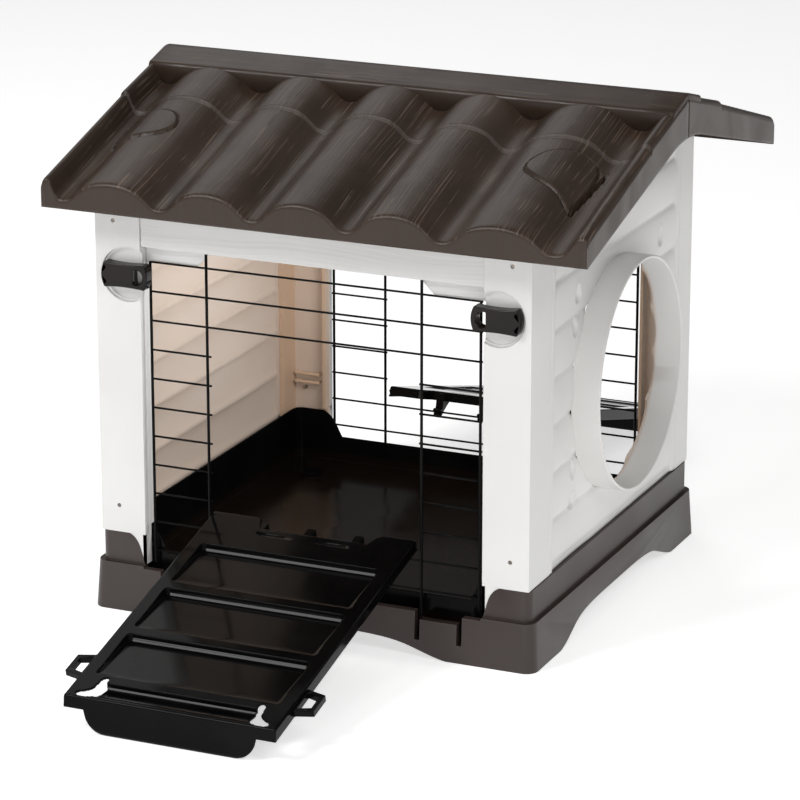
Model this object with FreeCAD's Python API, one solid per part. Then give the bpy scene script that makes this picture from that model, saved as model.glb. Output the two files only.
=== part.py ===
import FreeCAD, Part
import os
import math

V = FreeCAD.Vector

# Driving sizes in millimetres. X runs left to right, Y front to rear, Z up.
# Base skirt
base_half_x = 304.0
base_half_y = 293.0
base_flare = 3.6
base_step_z = 63.4
base_top_z = 104.0
base_inset = 6.0
base_wall = 4.0
base_seat = 14.0
corner_radius = 16.0
side_arch_z = 29.0
side_arch_foot = 81.0
side_arch_flat = 100.0
front_arch_z = 22.0
front_arch_foot = 109.0
front_arch_flat = 95.0
arch_bend = 14.0
ledge_z = 60.0
ledge_drop = 10.0
notch_width = 7.0
notch_pitch = 57.0
notch_floor_z = 23.0
shoulder_run = 26.0
shoulder_shares = ((0.22, 0.42), (0.5, 0.8))
rail_height = 4.0
rail_drop = 0.5
rail_share = 0.6

# Corner posts and headers
post_setback = 1.5
post_width = 62.5
post_thick = 10.0
post_side_front = 68.0
post_side_rear = 48.0
post_return = 25.0
return_thick = 4.0
header_bottom_z = 487.0
header_setback = 2.0
header_thick = 8.0
header_back_thick = 4.0
header_back_lift = 8.0
header_web_lift = 18.0
gusset_drop = 28.0
gusset_rise = 7.0
gusset_run = 16.0
gusset_shoulder = 5.0
gusset_root = 13.0
bracket_radius = 2.5
bracket_zs = (150.0, 162.0)
bracket_back = 9.0
bracket_reach = 10.0
bracket_inset_outer = 5.5
bracket_inset_inner = 14.0
screw_radius = 2.5
screw_inset = 25.5
screw_zs = (140.0, 518.0)

# Roof
roof_over_x = 68.5
roof_over_y = 57.0
roof_shift_x = 24.0
roof_rise = 0.296
eave_z = 541.8
fascia = 12.2
tile_height = 26.0
tile_shares = (-0.92, -0.55, -0.204, 0.141, 0.482, 0.879)
hinge_tiles = (1, 3)
sheet = 4.5
row_step = 3.0
row_y = 129.5
upper_rise = 0.264
cap_half_y = 52.5
cap_lift = 3.9
cap_chamfer = 6.0
cap_crown = 11.1
board_thick = 4.0
gable_arch_y = 57.0
gable_rise = 0.262
gable_top_drop = 10.0
pad_height = 5.5
# Rims: pairs of distance from the outer edge and height over the valleys
left_rim = ((0.0, 18.0), (2.0, 21.0), (5.0, 24.0), (9.0, 25.0), (13.0, 20.0), (16.0, 12.0), (19.0, 5.0),
            (23.0, 1.0))
right_rim = ((0.0, 18.0), (2.0, 21.0), (6.0, 23.5), (12.0, 23.0), (19.0, 17.0), (24.0, 9.0), (34.0, 2.0))
tile_steps = (0.0, 0.05, 0.09, 0.14, 0.18, 0.22, 0.29, 0.39)
tile_lifts = (0.0, 0.03, 0.11, 0.33, 0.52, 0.68, 0.85, 0.96)

# Turn buttons
button_offset = 18.5
button_z = 449.6
button_radius = 32.5
button_half = 16.5
button_proud = 10.0
button_wall = 4.0
recess_margin = 3.5
recess_depth = 5.0
dish_step = 3.2
dish_depth = 6.5
pivot_radius = 2.0

# Wire fronts
mesh_setback = 12.0
wire_radius = 1.5
bar_radius = 1.0
outer_wire_inset = 8.4
inner_wire_x = 147.0
outer_wire_low_z = 66.0
inner_wire_low_z = 42.0
bar_pitch = 38.4
bar_drop = 21.6
bar_count = 11
bar_stub = 4.0
rear_flip_z = 518.4

# Side walls and the round entrance
wall_skin = 4.0
board_bulge = 4.5
board_pitch = 61.5
groove_low_z = 48.5
ring_y = 8.5
ring_z = 309.0
ring_radius = 152.0
ring_wall = 4.0
ring_proud = 35.1
boss_place = (171.0, 176.0)
boss_radius = 6.0

# Litter tray and its drain plug
tray_side_gap = 5.5
tray_end_gap = 18.5
tray_wall = 2.5
tray_corner = 14.0
tray_floor_z = 38.5
tray_over = 8.0
tray_rim_over = 16.0
tray_shoulder_inset = 72.0
tray_shoulder_run = 36.0
crown_inset = 22.0
crown_lift = 6.0
crown_place = (-36.0, 84.0)
plug_inset = 63.5
plug_y = 187.0
plug_radius = 11.0

# Ramps, drawn lying level: u runs away from the coop and w is up.
ramp_half_x = 140.0
ramp_length = 430.0
ramp_plate = 3.0
ramp_edge = 16.0
ramp_hook_u = 13.5
ramp_hook_w = -27.6
hook_radius = 5.0
hook_half = 6.0
hook_xs = (-66.0, 0.0, 66.0)
ramp_foot_u = 440.9
ramp_foot_w = -43.0
ramp_foot_lift = 0.4
foot_half = 86.0
foot_top_half = 113.0
riser_first = 83.0
riser_pitch = 103.5
riser_count = 4
riser_gap = 12.0
pan_half = 123.0
pan_half_last = 107.0
pan_depth = 9.5
pan_shallow = 2.0
finger_size = 18.0
finger_inset = 15.0
finger_end = 14.0
upper_slot_xs = (28.0, 62.0)
upper_slot_us = (24.0, 30.0)
edge_slot_xs = (30.0, 118.0)
edge_slot_u = 5.0
ear_start = 338.0
ear_length = 46.0
ear_reach = 25.0
ear_bar = 6.0

# Roof hinges
hinge_out_y = 6.5
hinge_z = 548.0
knuckle_radius = 7.0
knuckle_half = 12.0
pin_radius = 2.5
gap = 0.3

# Sizes that follow from the ones above
base_top_x = base_half_x - base_inset
base_top_y = base_half_y - base_inset
post_outer_x = base_top_x - post_setback
post_outer_y = base_top_y
post_inner_x = post_outer_x - post_width
wall_inner_x = post_outer_x - board_bulge - wall_skin
roof_half_x = post_outer_x + roof_over_x
roof_half_y = post_outer_y + roof_over_y
valley_z = eave_z + fascia
tile_edges = [share * roof_half_x for share in tile_shares]
crest_z = valley_z + tile_height
cap_climb = (roof_half_y - cap_half_y) * roof_rise
cap_edge_z = crest_z + cap_climb + cap_lift
ridge_z = cap_edge_z + cap_crown
roof_clear_z = ridge_z + 20.0
button_x = post_inner_x + button_offset
recess_radius = button_radius + recess_margin
mesh_y = post_outer_y - mesh_setback
bar_y = mesh_y - wire_radius - bar_radius
back_plate_y = bar_y - bar_radius - 1.0
outer_wire_x = post_inner_x - outer_wire_inset
top_bar_z = header_bottom_z - bar_drop
low_bar_z = top_bar_z - bar_pitch * (bar_count - 1)
ring_out_x = post_outer_x + ring_proud
tray_half_x = wall_inner_x - tray_side_gap
tray_half_y = post_outer_y - tray_end_gap
tray_top_z = base_top_z + tray_over
tray_rim_z = ledge_z + tray_rim_over
plug_x = plug_inset - tray_half_x
ledge_low_z = ledge_z - ledge_drop
notch_x = inner_wire_x - 1.0
shoulder_x = post_inner_x
hinge_y = post_outer_y + hinge_out_y
screw_x = post_outer_x - screw_inset

# The whole coop is moved so that its outline is centred on the origin.
shift_x = -roof_shift_x
shift_y = 1.0


def box(x0, x1, y0, y1, z0, z1):
    low = V(min(x0, x1), min(y0, y1), min(z0, z1))
    return Part.makeBox(abs(x1 - x0), abs(y1 - y0), abs(z1 - z0), low)


def rod(radius, start, end):
    run = end.sub(start)
    return Part.makeCylinder(radius, run.Length, start, run)


def fuse(shapes):
    whole = shapes[0]
    if len(shapes) > 1:
        whole = whole.multiFuse(shapes[1:])
    return whole.removeSplitter()


def turned(shape, centre, axis, angle):
    result = shape.copy()
    result.rotate(centre, axis, angle)
    return result


def moved(shape, offset):
    result = shape.copy()
    result.translate(offset)
    return result


def half_turn(shape):
    return turned(shape, V(0, 0, 0), V(0, 0, 1), 180)


def mirror_x(shape):
    return shape.mirror(V(0, 0, 0), V(1, 0, 0))


def mirror_y(shape):
    return shape.mirror(V(0, 0, 0), V(0, 1, 0))


def rounded_wire(half_x, half_y, radius, z):
    flat = Part.makePlane(2 * half_x, 2 * half_y, V(-half_x, -half_y, z))
    block = flat.extrude(V(0, 0, 1))
    edges = [e for e in block.Edges if abs(e.tangentAt(e.FirstParameter).z) > 0.9]
    block = block.makeFillet(radius, edges)
    faces = [f for f in block.Faces if abs(f.CenterOfMass.z - z) < 0.001]
    return faces[0].OuterWire


def rounded_block(half_x, half_y, radius, z0, z1, grow_low=0.0):
    low = rounded_wire(half_x + grow_low, half_y + grow_low, radius, z0)
    top = rounded_wire(half_x, half_y, radius, z1)
    return Part.makeLoft([low, top], True, True)


def prism(points, run):
    wire = Part.makePolygon(points + [points[0]])
    return Part.Face(wire).extrude(run)


def arch_cutter(foot, half_flat, height, depth):
    spline = Part.BSplineCurve()
    side = (foot + half_flat) / 2
    half = [
        V(foot, 0, -1),
        V(side + arch_bend, 0, height * 0.34),
        V(side - arch_bend, 0, height * 0.72),
        V(half_flat, 0, height * 0.95),
    ]
    points = [V(-p.x, 0, p.z) for p in half] + [V(0, 0, height)] + half[::-1]
    spline.interpolate(points)
    bottom = Part.LineSegment(V(foot, 0, -1), V(-foot, 0, -1)).toShape()
    face = Part.Face(Part.Wire([spline.toShape(), bottom]))
    return moved(face.extrude(V(0, 2 * depth, 0)), V(0, -depth, 0))


def shoulder_cutter(half_low, half_high, z_low, z_high, y0, y1):
    right = Part.BSplineCurve()
    curve = [V(half_low, y0, z_low)]
    for run, rise in shoulder_shares:
        curve.append(V(half_low + run * (half_high - half_low), y0, z_low + rise * (z_high - z_low)))
    curve.append(V(half_high, y0, z_high))
    right.interpolate(curve)
    left = Part.BSplineCurve()
    left.interpolate([V(-p.x, y0, p.z) for p in reversed(curve)])
    z_over = z_high + base_top_z
    edges = [
        right.toShape(),
        Part.LineSegment(V(half_high, y0, z_high), V(half_high, y0, z_over)).toShape(),
        Part.LineSegment(V(half_high, y0, z_over), V(-half_high, y0, z_over)).toShape(),
        Part.LineSegment(V(-half_high, y0, z_over), V(-half_high, y0, z_high)).toShape(),
        left.toShape(),
        Part.LineSegment(V(-half_low, y0, z_low), V(half_low, y0, z_low)).toShape(),
    ]
    return Part.Face(Part.Wire(edges)).extrude(V(0, y1 - y0, 0))


def hinge_places():
    # Both roof hinges sit under the crest of a tile.
    places = []
    for index in hinge_tiles:
        places.append(roof_shift_x + (tile_edges[index] + tile_edges[index + 1]) / 2)
    return places


def under_roof(z_drop=0.5):
    # A tall solid that fills everything above the underside of the tile valleys.
    edge_z = valley_z - sheet - z_drop
    top = edge_z + roof_half_y * roof_rise
    x0 = -2 * roof_half_x
    points = [
        V(x0, -roof_half_y, edge_z),
        V(x0, 0, top),
        V(x0, roof_half_y, edge_z),
        V(x0, roof_half_y, 2 * roof_clear_z),
        V(x0, -roof_half_y, 2 * roof_clear_z),
    ]
    return prism(points, V(-2 * x0, 0, 0))


def base_skirt():
    lower = rounded_block(base_half_x, base_half_y, corner_radius, 0, base_step_z, base_flare)
    upper = rounded_block(base_top_x, base_top_y, corner_radius - 3, base_step_z - 1, base_top_z)
    body = lower.fuse(upper)
    inner = rounded_block(base_top_x - base_wall, base_top_y - base_wall, corner_radius - base_inset,
                          -1, base_top_z - 2 * base_wall)
    seat = rounded_block(base_top_x - base_seat, base_top_y - base_seat, base_inset, 0, base_top_z + 1)
    body = body.cut(inner).cut(seat)
    for side in (-1, 1):
        y0 = side * (base_top_y - base_seat - base_inset)
        y1 = side * (base_half_y + 10)
        body = body.cut(shoulder_cutter(shoulder_x, shoulder_x + shoulder_run, ledge_z, base_top_z + 1,
                                        y0, y1))
        for edge in (-1, 1):
            low = edge * (notch_x + notch_width)
            high = edge * (notch_x + notch_pitch)
            body = body.cut(box(low, high, y0, y1, ledge_low_z, ledge_z + 1))
            for start in (notch_x, notch_x + notch_pitch):
                body = body.cut(box(edge * start, edge * (start + notch_width), y0, y1,
                                    notch_floor_z, ledge_z + 1))
    body = body.cut(arch_cutter(base_half_x - front_arch_foot, front_arch_flat, front_arch_z,
                                2 * base_half_y))
    side_arch = arch_cutter(base_half_y - side_arch_foot, side_arch_flat, side_arch_z, 2 * base_half_x)
    body = body.cut(turned(side_arch, V(0, 0, 0), V(0, 0, 1), 90))
    rails = []
    rail_top = tray_floor_z - rail_drop
    rail_y = tray_half_y - 2 * tray_corner
    for side in (-1, 1):
        rails.append(box(side * (tray_half_x - tray_corner), side * (base_top_x - base_wall + 1),
                         -rail_y, rail_y, rail_top - rail_height, rail_top))
    for y in (-rail_y * rail_share, 0, rail_y * rail_share):
        rails.append(box(-tray_half_x + tray_corner - 2, tray_half_x - tray_corner + 2,
                         y - rail_height / 2, y + rail_height / 2, rail_top - rail_height - 1, rail_top))
    return fuse([body] + rails)


def litter_tray():
    outer = rounded_block(tray_half_x, tray_half_y, tray_corner, tray_floor_z, tray_top_z)
    floor_z = tray_floor_z + tray_wall
    inner = rounded_block(tray_half_x - tray_wall, tray_half_y - tray_wall, tray_corner - 2,
                          floor_z, tray_top_z + 1)
    body = outer.cut(inner)
    low_half = tray_half_x - tray_shoulder_inset
    for side in (-1, 1):
        y0 = side * (tray_half_y - tray_corner - 2)
        y1 = side * (tray_half_y + 2)
        body = body.cut(shoulder_cutter(low_half, low_half + tray_shoulder_run, tray_rim_z, tray_top_z + 1,
                                        y0, y1))
    foot_z = floor_z - 0.5
    corners = []
    for side_x, side_y in ((-1, -1), (1, -1), (1, 1), (-1, 1)):
        corners.append(V(side_x * (tray_half_x - crown_inset), side_y * (tray_half_y - crown_inset), foot_z))
    peak = V(crown_place[0], crown_place[1], floor_z + crown_lift)
    faces = [Part.Face(Part.makePolygon(corners + [corners[0]]))]
    for index in range(4):
        first = corners[index]
        second = corners[(index + 1) % 4]
        faces.append(Part.Face(Part.makePolygon([first, second, peak, first])))
    crown = Part.makeSolid(Part.makeShell(faces))
    if crown.Volume < 0:
        crown.reverse()
    body = body.fuse(crown)
    boss = Part.makeCylinder(plug_radius + 5, 6, V(plug_x, plug_y, tray_floor_z))
    body = body.fuse(boss)
    hole = Part.makeCylinder(plug_radius + gap, 40, V(plug_x, plug_y, tray_floor_z - 10))
    return body.cut(hole).removeSplitter()


def drain_plug():
    head_z = tray_floor_z + 6.5
    stem = Part.makeCylinder(plug_radius, 7, V(plug_x, plug_y, tray_floor_z))
    head = Part.makeCylinder(plug_radius + 3, 2.5, V(plug_x, plug_y, head_z))
    grip = box(plug_x - 8, plug_x + 8, plug_y - 1.5, plug_y + 1.5, head_z + 2, head_z + 7.5)
    return fuse([stem, head, grip])


def post_front_left():
    # The corner post is an L in plan with a deep return beside the doorway.
    z0 = base_top_z + gap
    z1 = roof_clear_z
    face_y = -post_outer_y
    front = box(-post_outer_x, -post_inner_x, face_y, face_y + post_thick, z0, z1)
    side = box(-post_outer_x, -post_outer_x + post_thick, face_y, face_y + post_side_front, z0, z1)
    back = box(-post_inner_x - return_thick, -post_inner_x, face_y, face_y + post_return, tray_top_z + 3, z1)
    body = front.fuse([side, back]).cut(under_roof())
    start = V(-button_x, face_y - 5, button_z)
    body = body.cut(rod(recess_radius, start, V(-button_x, face_y + recess_depth, button_z)))
    body = body.cut(rod(recess_radius - dish_step, start, V(-button_x, face_y + dish_depth, button_z)))
    body = body.cut(rod(pivot_radius + 0.8, start, V(-button_x, face_y + 2 * post_thick, button_z)))
    for z in screw_zs:
        hole_end = V(-screw_x, face_y + 2 * post_thick, z)
        body = body.cut(rod(screw_radius + gap, V(-screw_x, face_y - 1, z), hole_end))
    return body.removeSplitter()


def post_rear_left():
    body = mirror_y(post_front_left())
    trim = box(-2 * post_outer_x, -post_outer_x + post_thick, 0, post_outer_y - post_side_rear,
               0, roof_clear_z)
    body = body.cut(trim)
    bars = []
    bar_line_y = post_outer_y - post_thick - bracket_back
    ends = (-post_outer_x + post_thick + bracket_inset_outer, -post_inner_x - bracket_inset_inner)
    for z in bracket_zs:
        bars.append(rod(bracket_radius, V(ends[0] - 2, bar_line_y, z), V(ends[1] + 2, bar_line_y, z)))
        for x in ends:
            bars.append(rod(bracket_radius, V(x, bar_line_y, z), V(x, bar_line_y + bracket_reach, z)))
    return fuse([body] + bars)


def header_front():
    x1 = post_inner_x - gap
    face_y = -post_outer_y + header_setback
    back_y = -back_plate_y
    web_z = header_bottom_z + header_web_lift
    gusset_low = header_bottom_z - gusset_drop
    gusset_high = header_bottom_z + gusset_root
    gusset_x = inner_wire_x - 2
    plate = box(-x1, x1, face_y, face_y + header_thick, header_bottom_z, roof_clear_z)
    behind = box(-x1, x1, back_y, back_y + header_back_thick, header_bottom_z + header_back_lift,
                 roof_clear_z)
    web = box(-x1, x1, face_y, back_y + header_back_thick, web_z, web_z + header_back_thick)
    parts = [plate, behind, web]
    for side in (-1, 1):
        points = [
            V(side * (x1 - gusset_shoulder), back_y, gusset_low + gusset_rise),
            V(side * (gusset_x + gusset_run), back_y, gusset_low + gusset_rise),
            V(side * gusset_x, back_y, header_bottom_z - gusset_shoulder),
            V(side * gusset_x, back_y, gusset_high),
            V(side * x1, back_y, gusset_high),
            V(side * x1, back_y, gusset_low),
        ]
        parts.append(prism(points, V(0, header_back_thick, 0)))
    return fuse(parts).cut(under_roof()).removeSplitter()


def hinge_bore(x):
    return rod(pin_radius + gap, V(x - 40, hinge_y, hinge_z), V(x + 40, hinge_y, hinge_z))


def header_rear():
    knuckles = []
    for x in hinge_places():
        for side in (-1, 1):
            x0 = x + side * (knuckle_half + gap)
            x1 = x + side * 2 * knuckle_half
            barrel = rod(knuckle_radius, V(x0, hinge_y, hinge_z), V(x1, hinge_y, hinge_z))
            arm = box(x0, x1, post_outer_y - 3, hinge_y, hinge_z - knuckle_radius, hinge_z + knuckle_radius)
            knuckles.extend([barrel, arm])
    body = fuse([half_turn(header_front())] + knuckles)
    for x in hinge_places():
        body = body.cut(hinge_bore(x))
    return body.removeSplitter()


def hinge_pins():
    pins = []
    reach = 2 * knuckle_half + 0.5
    for x in hinge_places():
        head_x = x + reach
        pin = rod(pin_radius, V(x - reach, hinge_y, hinge_z), V(head_x + 0.5, hinge_y, hinge_z))
        head = rod(pin_radius + 2, V(head_x, hinge_y, hinge_z), V(head_x + 2, hinge_y, hinge_z))
        pins.append(fuse([pin, head]))
    return Part.makeCompound(pins)


def board_line(shift):
    # Arcs from groove to groove up the wall, one for each bulging board.
    edges = []
    z = groove_low_z
    while z < roof_clear_z:
        low = V(post_outer_x - board_bulge + shift, 0, z)
        middle = V(post_outer_x + shift, 0, z + board_pitch / 2)
        high = V(post_outer_x - board_bulge + shift, 0, z + board_pitch)
        edges.append(Part.Arc(low, middle, high).toShape())
        z += board_pitch
    return edges, V(low.x, 0, groove_low_z), high


def wall_panel(with_ring):
    # The right-hand panel: one wavy skin, cut to the roof and to the base.
    y0 = -post_outer_y + post_side_front + gap
    y1 = post_outer_y - post_side_rear - gap
    outer, outer_low, outer_high = board_line(0)
    inner, inner_low, inner_high = board_line(-wall_skin)
    foot = Part.LineSegment(inner_low, outer_low).toShape()
    head = Part.LineSegment(outer_high, inner_high).toShape()
    face = Part.Face(Part.Wire(Part.__sortEdges__(outer + [head] + inner + [foot])))
    slab = moved(face.extrude(V(0, y1 - y0, 0)), V(0, y0, 0))
    slab = slab.cut(under_roof())
    slab = slab.cut(box(0, 2 * post_outer_x, y0 - 1, y1 + 1, 0, base_top_z + 4 * gap))
    if with_ring:
        tube = rod(ring_radius, V(wall_inner_x, ring_y, ring_z), V(ring_out_x, ring_y, ring_z))
        hole = rod(ring_radius - ring_wall, V(wall_inner_x - 5, ring_y, ring_z),
                   V(ring_out_x + 5, ring_y, ring_z))
        slab = slab.fuse(tube).cut(hole)
    return slab.removeSplitter()


def wall_left():
    body = mirror_x(wall_panel(False))
    y, z = boss_place
    boss = rod(boss_radius, V(-wall_inner_x - wall_skin + 1, y, z), V(-wall_inner_x + 7, y, z))
    hole = rod(boss_radius - 4, V(-wall_inner_x - 1, y, z), V(-wall_inner_x + 8, y, z))
    return body.fuse(boss).cut(hole).removeSplitter()


def tile_points():
    # One tile across: pairs of distance and lift, both as shares.
    rising = list(zip(tile_steps, tile_lifts))
    falling = [(1.0 - step, lift) for step, lift in reversed(rising)]
    return rising + [(0.5, 1.0)] + falling


def tile_line(y, z_add):
    # One front edge of the roof: raised rim, a row of broad tiles, raised rim.
    line = [(-roof_half_x + run, lift) for run, lift in left_rim]
    for index in range(len(tile_edges) - 1):
        width = tile_edges[index + 1] - tile_edges[index]
        shares = tile_points()
        if index > 0:
            shares = shares[1:]
        for share, lift in shares:
            line.append((tile_edges[index] + share * width, tile_height * lift))
    line.extend([(roof_half_x - run, lift) for run, lift in reversed(right_rim)])
    return [V(x, y, valley_z + lift + z_add) for x, lift in line]


def tile_sheet(y0, y1, z_add, rise):
    # A wavy sheet that climbs from the line y0 to the line y1.
    lift = z_add + (y0 + roof_half_y) * roof_rise
    top = Part.BSplineCurve()
    top.interpolate(tile_line(y0, lift))
    low = Part.BSplineCurve()
    low.interpolate(tile_line(y0, lift - sheet))
    first = Part.LineSegment(top.StartPoint, low.StartPoint).toShape()
    last = Part.LineSegment(low.EndPoint, top.EndPoint).toShape()
    wire = Part.Wire([first, low.toShape(), last, top.toShape()])
    run = V(0, y1 - y0, (y1 - y0) * rise)
    return Part.Face(wire).extrude(run)


def eave_board():
    top = Part.BSplineCurve()
    top.interpolate(tile_line(-roof_half_y, -1.0))
    left = V(-roof_half_x, -roof_half_y, eave_z)
    right = V(roof_half_x, -roof_half_y, eave_z)
    edges = [
        Part.LineSegment(left, top.StartPoint).toShape(),
        top.toShape(),
        Part.LineSegment(top.EndPoint, right).toShape(),
        Part.LineSegment(right, left).toShape(),
    ]
    return Part.Face(Part.Wire(edges)).extrude(V(0, board_thick, 0))


def gable_board(x0):
    # The end board below the rim, its foot rounded off under the ridge.
    top_z = valley_z + left_rim[0][1] - gable_top_drop
    climb = (roof_half_y - cap_half_y) * roof_rise
    low_top = eave_z + (roof_half_y - gable_arch_y) * gable_rise
    peak = low_top + gable_arch_y * gable_rise / 2
    curve = Part.Arc(V(x0, -gable_arch_y, low_top), V(x0, 0, peak), V(x0, gable_arch_y, low_top))
    line = [
        V(x0, gable_arch_y, low_top),
        V(x0, roof_half_y, eave_z),
        V(x0, roof_half_y, top_z),
        V(x0, cap_half_y, top_z + climb),
        V(x0, -cap_half_y, top_z + climb),
        V(x0, -roof_half_y, top_z),
        V(x0, -roof_half_y, eave_z),
        V(x0, -gable_arch_y, low_top),
    ]
    edges = [curve.toShape()]
    for index in range(len(line) - 1):
        edges.append(Part.LineSegment(line[index], line[index + 1]).toShape())
    return Part.Face(Part.Wire(edges)).extrude(V(board_thick, 0, 0))


def ridge_cap():
    half = roof_half_x - 1.5
    lip_z = valley_z + cap_climb - 2
    inner_y = cap_half_y - sheet
    shoulder_y = cap_half_y - cap_chamfer
    shoulder_z = cap_edge_z - cap_chamfer
    outline = [
        V(-half, -cap_half_y, lip_z),
        V(-half, -cap_half_y, shoulder_z),
        V(-half, -shoulder_y, cap_edge_z),
        V(-half, 0, ridge_z),
        V(-half, shoulder_y, cap_edge_z),
        V(-half, cap_half_y, shoulder_z),
        V(-half, cap_half_y, lip_z),
    ]
    inside = [
        V(-half, inner_y, lip_z),
        V(-half, inner_y, shoulder_z - sheet),
        V(-half, 0, ridge_z - 2 * sheet),
        V(-half, -inner_y, shoulder_z - sheet),
        V(-half, -inner_y, lip_z),
    ]
    parts = [prism(outline + inside, V(2 * half, 0, 0))]
    for x0 in (-half, half - board_thick):
        parts.append(prism([V(x0, p.y, p.z) for p in outline], V(board_thick, 0, 0)))
    return fuse(parts)


def tongue_pad(side):
    # A low tongue on the outer tile, its open end facing the rim.
    outer, inner = (tile_edges[0], tile_edges[1]) if side < 0 else (tile_edges[-1], tile_edges[-2])
    centre_x = (outer + inner) / 2
    y0 = -252.0
    outline = ((38, 0), (-2, 6), (-24, 30), (-26, 52), (-10, 76), (38, 84))
    z0 = crest_z - 3 + (y0 + roof_half_y) * roof_rise
    points = [V(centre_x + side * x, y0 + y, z0 + y * roof_rise) for x, y in outline]
    return prism(points, V(0, 0, pad_height))


def roof_shell():
    lower = tile_sheet(-roof_half_y, -row_y + 4, 0, roof_rise)
    upper = tile_sheet(-row_y, -cap_half_y + 2, row_step, upper_rise)
    front = fuse([lower, upper, eave_board(), tongue_pad(-1), tongue_pad(1)])
    parts = [front, mirror_y(front), ridge_cap(), gable_board(-roof_half_x),
             gable_board(roof_half_x - board_thick)]
    body = moved(fuse(parts), V(roof_shift_x, 0, 0))
    lugs = []
    for x in hinge_places():
        lugs.append(rod(knuckle_radius, V(x - knuckle_half, hinge_y, hinge_z),
                        V(x + knuckle_half, hinge_y, hinge_z)))
        lugs.append(box(x - knuckle_half, x + knuckle_half, hinge_y - 4, hinge_y + knuckle_radius,
                        hinge_z, crest_z + 10))
    body = fuse([body] + lugs)
    for x in hinge_places():
        body = body.cut(hinge_bore(x))
    return body.removeSplitter()


def turn_button():
    # Front left button, lying across the doorway wire.
    x0 = -button_x
    back_y = -post_outer_y + dish_depth - gap
    face_y = -post_outer_y - button_proud
    long = button_radius + 8
    disc = rod(button_radius, V(x0, back_y, button_z), V(x0, face_y, button_z))
    bar = box(x0 - long, x0 + long, back_y + 1, face_y - 1, button_z - button_half, button_z + button_half)
    body = disc.common(bar)
    waist_radius = 150.0
    for side in (-1, 1):
        z = button_z + side * (button_half + waist_radius - 1.8)
        body = body.cut(rod(waist_radius, V(x0, back_y + 1, z), V(x0, face_y - 1, z)))
    hollow = rod(button_radius - button_wall, V(x0, back_y + 1, button_z), V(x0, face_y + 3, button_z))
    inner_half = button_half - 5.5
    slot = box(x0 - long, x0 + long, back_y + 1, face_y, button_z - inner_half, button_z + inner_half)
    body = body.cut(hollow.common(slot))
    body = body.fuse(rod(4 * pivot_radius, V(x0, back_y, button_z), V(x0, face_y + 1, button_z)))
    window = rod(button_radius - button_wall - 1, V(x0, back_y + 2, button_z), V(x0, face_y - 2, button_z))
    window = window.common(box(x0 + 13, x0 + long, back_y + 2, face_y - 2, button_z - 9, button_z + 9))
    body = body.cut(window)
    body = body.cut(rod(pivot_radius + gap, V(x0, back_y + 1, button_z), V(x0, face_y + 4, button_z)))
    return body.removeSplitter()


def button_pivots():
    pivots = []
    for sign_x in (-1, 1):
        for sign_y in (-1, 1):
            x = sign_x * button_x
            y0 = sign_y * (post_outer_y - post_thick - 3)
            y1 = sign_y * (post_outer_y + button_proud / 2)
            stem = rod(pivot_radius, V(x, y0, button_z), V(x, y1, button_z))
            head = rod(2.5 * pivot_radius, V(x, y0 - sign_y * 2.2, button_z), V(x, y0, button_z))
            pivots.append(stem.fuse(head))
    return Part.makeCompound(pivots)


def post_screws():
    screws = []
    for sign_x in (-1, 1):
        for sign_y in (-1, 1):
            for z in screw_zs:
                start = V(sign_x * screw_x, sign_y * (post_outer_y - 1.5), z)
                end = V(sign_x * screw_x, sign_y * (post_outer_y - post_thick - 4), z)
                screws.append(rod(screw_radius, start, end))
    return Part.makeCompound(screws)


def mesh_panel():
    # Upright wires in front, thinner bars touching them from behind.
    wires = []
    for side in (-1, 1):
        x = side * outer_wire_x
        wires.append(rod(wire_radius, V(x, -mesh_y, outer_wire_low_z),
                         V(x, -mesh_y, top_bar_z + bar_radius)))
        x = side * inner_wire_x
        wires.append(rod(wire_radius, V(x, -mesh_y, inner_wire_low_z), V(x, -mesh_y, header_bottom_z + 5)))
    outer = outer_wire_x + wire_radius
    inner = inner_wire_x - bar_stub
    for index in range(bar_count):
        z = low_bar_z + index * bar_pitch
        spans = [(-outer, -inner), (inner, outer)]
        if index < 2 or index > bar_count - 4:
            spans = [(-outer, outer)]
        for x0, x1 in spans:
            wires.append(rod(bar_radius, V(x0, -bar_y, z), V(x1, -bar_y, z)))
    return Part.makeCompound(wires)


def rear_mesh():
    panel = turned(mesh_panel(), V(0, 0, 0), V(1, 0, 0), 180)
    return moved(panel, V(0, 0, rear_flip_z))


def ramp_block(half, u0, u1, w0, w1):
    return box(-half, half, -u0, -u1, w0, w1)


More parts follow.
